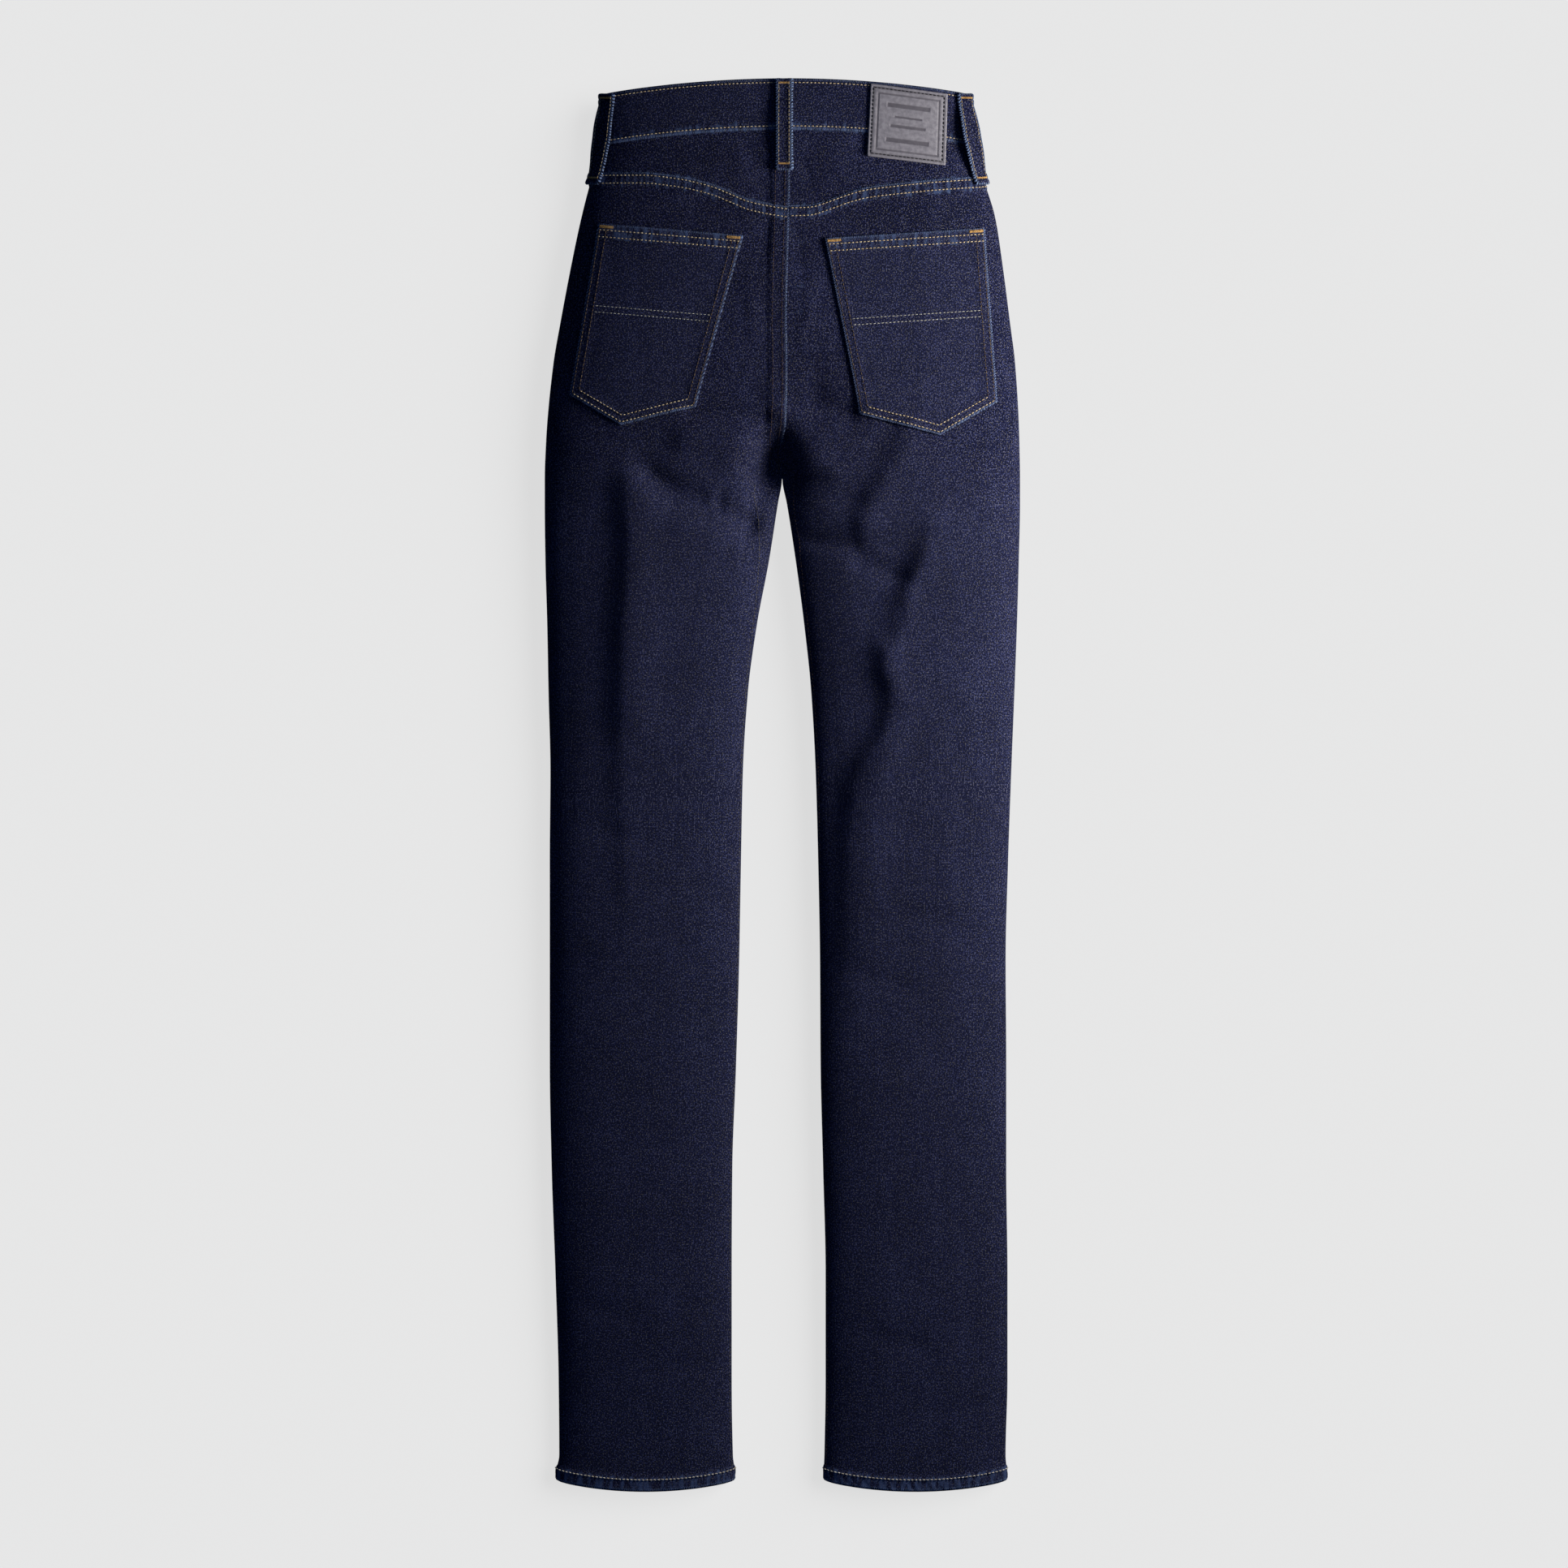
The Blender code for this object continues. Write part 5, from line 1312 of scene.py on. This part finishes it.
BAND_ROW_IN = 2.3              # rows of stitches, in from the band's edges and ends
BAND_ROWS = (BAND_ROW_IN, BAND_HEIGHT - BAND_ROW_IN)
halves = []
cuts = []
gold = []
for word, half in HALVES:
    end = half.round_length(BAND_LEVEL) + (UNDERLAP if half.side > 0 else FLY_LAP)
    at = np.linspace(3.5, end - 3.5, 245)
    at = np.concatenate(([0.0, 0.8, 2.0], at, [end - 2.0, end - 0.8, end]))
    edge = band_edge(half, at)
    level = edge - (BAND_HEIGHT - HALF_GAP) * (1.0 - BAND_SHARES[:, None])
    distance = band_place(half, at, level)
    points, normals = on_cloth(half, band_raise, distance, level)
    rise = level - edge + BAND_HEIGHT
    lines = [(np.linspace(0.5, end - BAND_ROW_IN, 500), above) for above in BAND_ROWS]
    lines.append((end - BAND_ROW_IN, np.linspace(*BAND_ROWS, 40)))
    for run, above in lines:
        fall = band_edge(half, run) - BAND_HEIGHT + above
        gold.append(row_on(half, band_raise, band_place(half, run, fall), fall))
    sewn = marks(
        level.shape, level_pucker=0.95 * near(rise, 15.0) + 0.5 * near(BAND_HEIGHT - rise, 7.0),
        folded=np.maximum(0.6 * near(rise, 1.4), 0.4 * near(BAND_HEIGHT - rise, 1.4)),
        rubbed=0.7 * WORN,
    )
    fields = [points, normals, cloth_map(half, distance, level, 171.0), sewn]
    # The left half runs the other way, and the two share the column at the centre back.
    halves.append([f[:, ::-1] for f in fields] if half.side < 0 else [f[:, 1:] for f in fields])
    cuts.append((distance, level))
points, normals, flat_map, sewn = [np.concatenate(pair, axis=1) for pair in zip(*halves)]
piece = panel("waistband", points, normals, WALL + BAND_RAISE, flat_map, sewn)
threads = [sew("waistband_gold_rows", gold, GOLD_THREAD)]
lay_flat(cuts)


# The five belt loops: strips of twill with both long edges folded under and stitched, their
# ends turned under and bar-tacked to the waistband above and to the cloth below.
LOOP_WIDTH = 12.0
LOOP_LENGTH = 71.0
LOOP_TACK = 6.0                # length of the flat tacked end
LOOP_WALL = 1.7                # the folded strip
LOOP_END_WALL = 2.6            # its turned-under, tacked ends
SIDE_LOOP_ROUND = 7.0          # the side loops sit this far above the side edge
FRONT_LOOP_PLACE = 76.0        # the front loops' distance from the centre front
BACK_LOOP_X = 1.5
ARCH_BACK = 2.4
ARCH_SIDE = 5.0
ARCH_FRONT = 0.8
LOOP_ROWS = (-4.4, 3.8)        # rows of stitches, from the loop's middle
LOOP_TACKS = (2.2, LOOP_LENGTH - 4.0)
LOOP_TACK_HEIGHT = 1.7
LOOP_TACK_PAST = 0.3           # the tacks run on past the rows by this
LOOP_BELOW_EDGE = 0.5          # the loops start this far below the band's top edge
LOOP_OVER = np.array([-6.0, -5.6, -5.0, -4.2, -3.2, -1.8, 0.0, 1.8, 3.2, 4.2, 5.0, 5.6, 6.0])
LOOP_DOWN = np.concatenate(([0.0, 0.4, 1.0], np.linspace(2.0, 69.0, 46), [70.0, 70.6, LOOP_LENGTH]))


def loop_raise(over, down, arch, under_foot):
    """Height of the loop's face off the skin, and its wall. It steps from the band down to
    the cloth, arches between the tacks, and is 0.35 mm thicker over its folded edges."""
    bulge = np.sin(np.pi * np.clip((down - LOOP_TACK) / (LOOP_LENGTH - 2.0 * LOOP_TACK), 0.0, 1.0))
    below_band = ease((down - BAND_HEIGHT) / (LOOP_LENGTH - BAND_HEIGHT))
    step = BAND_RAISE + (under_foot - BAND_RAISE) * below_band
    stand = step + LAID_CLEAR + arch * bulge
    at_end = near(np.minimum(down, LOOP_LENGTH - down) - LOOP_TACK, 1.5)
    edged = ease((np.abs(over) - 2.0) / 1.2)
    tacked = near(np.abs(np.minimum(down, LOOP_LENGTH - down) - 3.2), 1.6)
    wall = LOOP_WALL + (LOOP_END_WALL - LOOP_WALL) * at_end + 0.35 * edged - 0.5 * tacked
    return stand + wall, wall


def belt_loop(name, place, top, arch, under_foot):
    """A strip whose rows go down from the top level, and the rows that sew its edges."""
    def on_face(over, down):
        over, down = np.broadcast_arrays(over, down)
        points, normals = place(over, top - down)
        return points + normals * loop_raise(over, down, arch, under_foot)[0][..., None], normals

    over, down = np.meshgrid(LOOP_OVER, LOOP_DOWN)
    wall = loop_raise(over, down, arch, under_foot)[1]
    sewn = marks(over.shape, folded=near(LOOP_WIDTH / 2 - np.abs(over), 2.0))
    flat_map = np.stack((over + 3.0, top - down), axis=-1)
    piece = panel(name, *on_face(over, down), wall, flat_map, sewn, rim_rope=0.9)
    run = np.linspace(1.0, LOOP_LENGTH - 3.0, 120)
    rows = [stitches(*on_face(over, run)) for over in LOOP_ROWS]
    run = np.linspace(LOOP_ROWS[0] - LOOP_TACK_PAST, LOOP_ROWS[1] + LOOP_TACK_PAST, 20)
    tacks = [bar_tack(*on_face(run, down), LOOP_TACK_HEIGHT) for down in LOOP_TACKS]
    threads = [
        sew(name + "_gold_rows", rows, GOLD_THREAD, FINE_THREAD_RADIUS),
        sew(name + "_bar_tacks", tacks, TACK_THREAD, FINE_THREAD_RADIUS),
    ]


def loop_places():
    """Name, placing function, top level, arch and what it stands on, of each loop."""
    for word, half in HALVES:
        def on_side(over, level, half=half):
            return half.at(half.to_side(level) - SIDE_LOOP_ROUND + over, level)

        def on_front(over, level, half=half):
            return half.at(half.round_length(level) - FRONT_LOOP_PLACE + over, level)

        top = float(band_edge(half, half.to_side(BAND_LEVEL) - SIDE_LOOP_ROUND))
        yield f"belt_loop_side_{word}", on_side, top - LOOP_BELOW_EDGE, ARCH_SIDE, LAP_RAISE
        top = float(band_edge(half, half.round_length(BAND_LEVEL) - FRONT_LOOP_PLACE))
        yield f"belt_loop_front_{word}", on_front, top - LOOP_BELOW_EDGE, ARCH_FRONT, 0.0
    yield ("belt_loop_centre_back", lambda over, level: from_above(BACK_LOOP_X + over, level),
           BAND_TOP - LOOP_BELOW_EDGE, ARCH_BACK, LAP_RAISE)


for loop in loop_places():
    belt_loop(*loop)


# The patch: grey-brown pressed leather board, sewn over the waistband and a little of the
# yoke. It is kept bare but for a pressed frame and plain bars.
PATCH_WALL = 1.5
# Corners seen from above: top left, top right, foot right, foot left.
PATCH = ((71.2, 560.6), (131.2, 552.7), (129.5, 496.3), (68.4, 503.6))
PATCH_WIDTH = 60.8
PATCH_LENGTH = 57.0
PATCH_ROW = 2.0                # its row of stitches, in from the edges
PATCH_FRAME = 6.0              # and its pressed frame
# Its pressed bars: level above the middle, half length, half height.
PATCH_BARS = (
    (14.0, 17.0, 1.6),
    (5.0, 11.0, 0.7),
    (-2.5, 14.0, 1.1),
    (-14.0, 17.0, 1.6),
)

# Its fibres are dyed through and rolled flat: grey-brown, cloudy, with a soft gloss.
finish = {"Roughness": 0.5, "Specular IOR Level": 0.45}
board, tree, shader = new_material("pressed_leather_board", finish)
place = add(tree, "UVMap", {}, uv_map="cloth")
cloud = add(tree, "TexNoise", {"Vector": place, "Scale": 0.3, "Detail": 6.0}, noise_dimensions="2D")
grain = add(tree, "TexVoronoi", {"Vector": place, "Scale": 1.1}, voronoi_dimensions="2D")
colour = add(tree, "ValToRGB", {0: cloud}, stops=((0.30, "#8a8488"), (0.70, "#a69fa2")))
# The red of the sewn attribute says how deep the board is pressed, and so how dark.
pressed = add(tree, "SeparateColor", {0: add(tree, "Attribute", {}, attribute_name="sewn")})
colour = add(tree, "Mix", {0: pressed, 6: colour, 7: linear("#5a5459")}, data_type="RGBA")
tree.links.new(colour, shader.inputs["Base Color"])
bump = add(tree, "Bump", {"Strength": 0.35, "Distance": 0.0002, "Height": grain})
tree.links.new(bump, shader.inputs["Normal"])
BLACK_THREAD = sewing_thread("black_thread", "#0c0b0c", "#262326")


def patch_place(over, down):
    """Seen from above, the place at these shares over and down the patch."""
    (x0, y0), (x1, y1), (x2, y2), (x3, y3) = PATCH
    x = (x0 * (1.0 - over) + x1 * over) * (1.0 - down) + (x3 * (1.0 - over) + x2 * over) * down
    y = (y0 * (1.0 - over) + y1 * over) * (1.0 - down) + (y3 * (1.0 - over) + y2 * over) * down
    return x, y


def patch_relief(over, down):
    """Pressed marks, in millimetres below the face: the frame, the bars and the sewn row."""
    from_edge = np.minimum(
        np.minimum(over, 1.0 - over) * PATCH_WIDTH, np.minimum(down, 1.0 - down) * PATCH_LENGTH,
    )
    frame_line = near(np.abs(from_edge - PATCH_FRAME) - 0.4, 0.5)
    seam_line = near(np.abs(from_edge - PATCH_ROW) - 0.5, 0.9)
    x = (over - 0.5) * PATCH_WIDTH
    y = (0.5 - down) * PATCH_LENGTH
    bars = np.zeros_like(over)
    for level, half_length, half_height in PATCH_BARS:
        inside = np.minimum(half_length - np.abs(x), half_height - np.abs(y - level))
        bars = np.maximum(bars, ease(inside / 0.5 + 0.5))
    return 0.35 * frame_line + 0.4 * bars + 0.25 * seam_line


def patch_face(over, down):
    """Points and normals of the patch's face, and how far it is pressed in."""
    points, normals = from_above(*patch_place(over, down))
    sink = patch_relief(over, down)
    stand = BAND_RAISE + LAID_CLEAR + PATCH_WALL - sink
    return points + normals * stand[..., None], normals, sink


over, down = np.meshgrid(np.linspace(0.0, 1.0, 123), np.linspace(0.0, 1.0, 115))
points, normals, sink = patch_face(over, down)
flat_map = np.stack((over * PATCH_WIDTH, -down * PATCH_LENGTH), axis=-1)
piece = shell(
    "waist_patch_board", points, normals, PATCH_WALL - sink, flat_map,
    marks(over.shape, level_pucker=2.0 * sink), (board,),
)
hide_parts("waist_patch")
inset = np.array((PATCH_ROW / PATCH_WIDTH, PATCH_ROW / PATCH_LENGTH))
corners = inset + (1.0 - 2.0 * inset) * np.array(((0, 0), (1, 0), (1, 1), (0, 1)))
rows = []
for a, b in zip(corners, np.roll(corners, -1, axis=0)):
    points, normals, _ = patch_face(*np.linspace(a, b, 80).T)
    rows.append(stitches(points, normals))
sew("waist_patch_black_rows", rows, BLACK_THREAD)


# The waist button: a turned cap of copper-plated brass, face down just off the waistband's
# left end. Its face is plain.
BUTTON_PLACE = (-7.0, 519.0)
# The cap from its seat to its face: radius, depth below the seat.
BUTTON_PROFILE = (
    (0.0, 0.0), (6.9, 0.0), (7.9, 0.15), (8.35, 0.55), (8.5, 1.2), (8.4, 1.9), (8.0, 2.6),
    (7.4, 3.0), (6.7, 3.2), (6.2, 3.12), (5.8, 2.8), (5.4, 2.66), (4.6, 2.6), (2.4, 2.62), (0.0, 2.66),
)
BUTTON_SIDES = 72

# Copper plate, tumbled dull, with darker tarnish in patches a millimetre or two across.
copper, tree, shader = new_material("antique_copper", {"Metallic": 1.0, "Roughness": 0.38})
place = add(tree, "TexCoord", {}).node.outputs["Object"]
tarnish = add(tree, "TexNoise", {"Vector": place, "Scale": 700.0, "Detail": 3.0})
colour = add(tree, "ValToRGB", {0: tarnish}, stops=((0.3, "#6d4127"), (0.7, "#b5794f")))
tree.links.new(colour, shader.inputs["Base Color"])

seat = along(PROFILE, 3, BUTTON_PLACE[1]) - BAND_RAISE - SEAM_GAP
radius, depth = np.array(BUTTON_PROFILE[1:-1]).T
turn = np.arange(BUTTON_SIDES) * 2.0 * np.pi / BUTTON_SIDES
rings = np.stack((
    BUTTON_PLACE[0] + radius[:, None] * np.cos(turn),
    BUTTON_PLACE[1] + radius[:, None] * np.sin(turn),
    seat - depth[:, None] + np.zeros(BUTTON_SIDES),
), axis=-1).reshape(-1, 3)
poles = [(*BUTTON_PLACE, seat), (*BUTTON_PLACE, seat - BUTTON_PROFILE[-1][1])]
ring = np.arange(BUTTON_SIDES)
ahead = np.roll(ring, -1)
faces = []
for k in range(len(radius) - 1):
    low, high = k * BUTTON_SIDES, (k + 1) * BUTTON_SIDES
    faces += [
        np.stack((low + ring, high + ring, high + ahead), axis=1),
        np.stack((low + ring, high + ahead, low + ahead), axis=1),
    ]
last = (len(radius) - 1) * BUTTON_SIDES
faces.append(np.stack((np.full(BUTTON_SIDES, len(rings)), ring, ahead), axis=1))
faces.append(np.stack((np.full(BUTTON_SIDES, len(rings) + 1), last + ahead, last + ring), axis=1))
piece = build("waist_button_cap", np.concatenate((rings, poles)), np.concatenate(faces), (copper,))
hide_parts("waist_button")


# The floor, the light and the camera: a plain pale sheet of paper with an even light of its
# own, a soft box low on the right for the garment, a faint fill, and a view from above.
CAMERA_HEIGHT = 15.0           # metres above the floor
FRAME_WIDTH = 1.2583           # metres of floor across the picture
FRAME_CENTRE = (0.0013, 0.00065)
SENSOR = 36.0
FLOOR_LEVEL = -0.0006
FLOOR_SIZE = 14.0

mesh = bpy.data.meshes.new("floor")
corner = 0.5 * FLOOR_SIZE
mesh.from_pydata(
    [(-corner, -corner, FLOOR_LEVEL), (corner, -corner, FLOOR_LEVEL),
     (corner, corner, FLOOR_LEVEL), (-corner, corner, FLOOR_LEVEL)], [], [(0, 1, 2, 3)],
)
floor = bpy.data.objects.new("floor", mesh)
bpy.context.scene.collection.objects.link(floor)
# Matt pale paper. Part of its brightness is its own glow, which keeps the shadows light.
paper, _, _ = new_material("matt_pale_paper", {
    "Base Color": linear("#5a5a5a"), "Roughness": 0.95, "Specular IOR Level": 0.0,
    "Emission Color": (1.0, 1.0, 1.0, 1.0), "Emission Strength": 0.70,
})
mesh.materials.append(paper)
# The paper throws no light back up on the cloth: the garment's flanks stay dark.
floor.visible_diffuse = False
floor.visible_glossy = False

world = bpy.data.worlds.new("faint_room")
bpy.context.scene.world = world
world.use_nodes = True
world.node_tree.nodes["Background"].inputs["Color"].default_value = (0.28, 0.48, 1.0, 1.0)
world.node_tree.nodes["Background"].inputs["Strength"].default_value = 0.03


def lamp(name, kind, energy, place, target, lights_paper, **settings):
    """A lamp at a place, turned to a target, both in metres. It lights the paper alone or
    everything but the paper."""
    light = bpy.data.lights.new(name, kind)
    light.energy = energy
    for key, value in settings.items():
        setattr(light, key, value)
    holder = bpy.data.objects.new(name, light)
    holder.location = place
    down = Vector(place) - Vector(target)
    holder.rotation_euler = down.to_track_quat("Z", "Y").to_euler()
    bpy.context.scene.collection.objects.link(holder)
    receivers = bpy.data.collections.new(name + "_lights")
    receivers.objects.link(floor)
    linking = receivers.collection_objects[0].light_linking
    linking.link_state = "INCLUDE" if lights_paper else "EXCLUDE"
    holder.light_linking.receiver_collection = receivers


# The key is a soft box close by on the upper right, so it falls off to the left and down.
lamp("key", "AREA", 10.5, (0.85, 0.36, 0.43), (0.0, 0.1, 0.0), False, shape="DISK", size=0.42)
# A broad, faint, bluish overhead fill.
fill = {"color": (0.22, 0.44, 1.0), "angle": np.radians(100.0)}
lamp("fill", "SUN", 0.22, (0.3, 0.3, 1.0), (0.0, 0.0, 0.0), False, **fill)
# The paper's own even light comes from the right too, and the garment shades it a little.
lamp("paper", "SUN", 5.0, (1.0, 0.35, 0.75), (0.0, 0.0, 0.0), True, angle=np.radians(50.0))

lens = bpy.data.cameras.new("camera")
lens.sensor_width = SENSOR
lens.lens = SENSOR * CAMERA_HEIGHT / FRAME_WIDTH
camera = bpy.data.objects.new("camera", lens)
camera.location = (*FRAME_CENTRE, CAMERA_HEIGHT)
bpy.context.scene.collection.objects.link(camera)
bpy.context.scene.camera = camera
bpy.context.scene.view_settings.view_transform = "Standard"
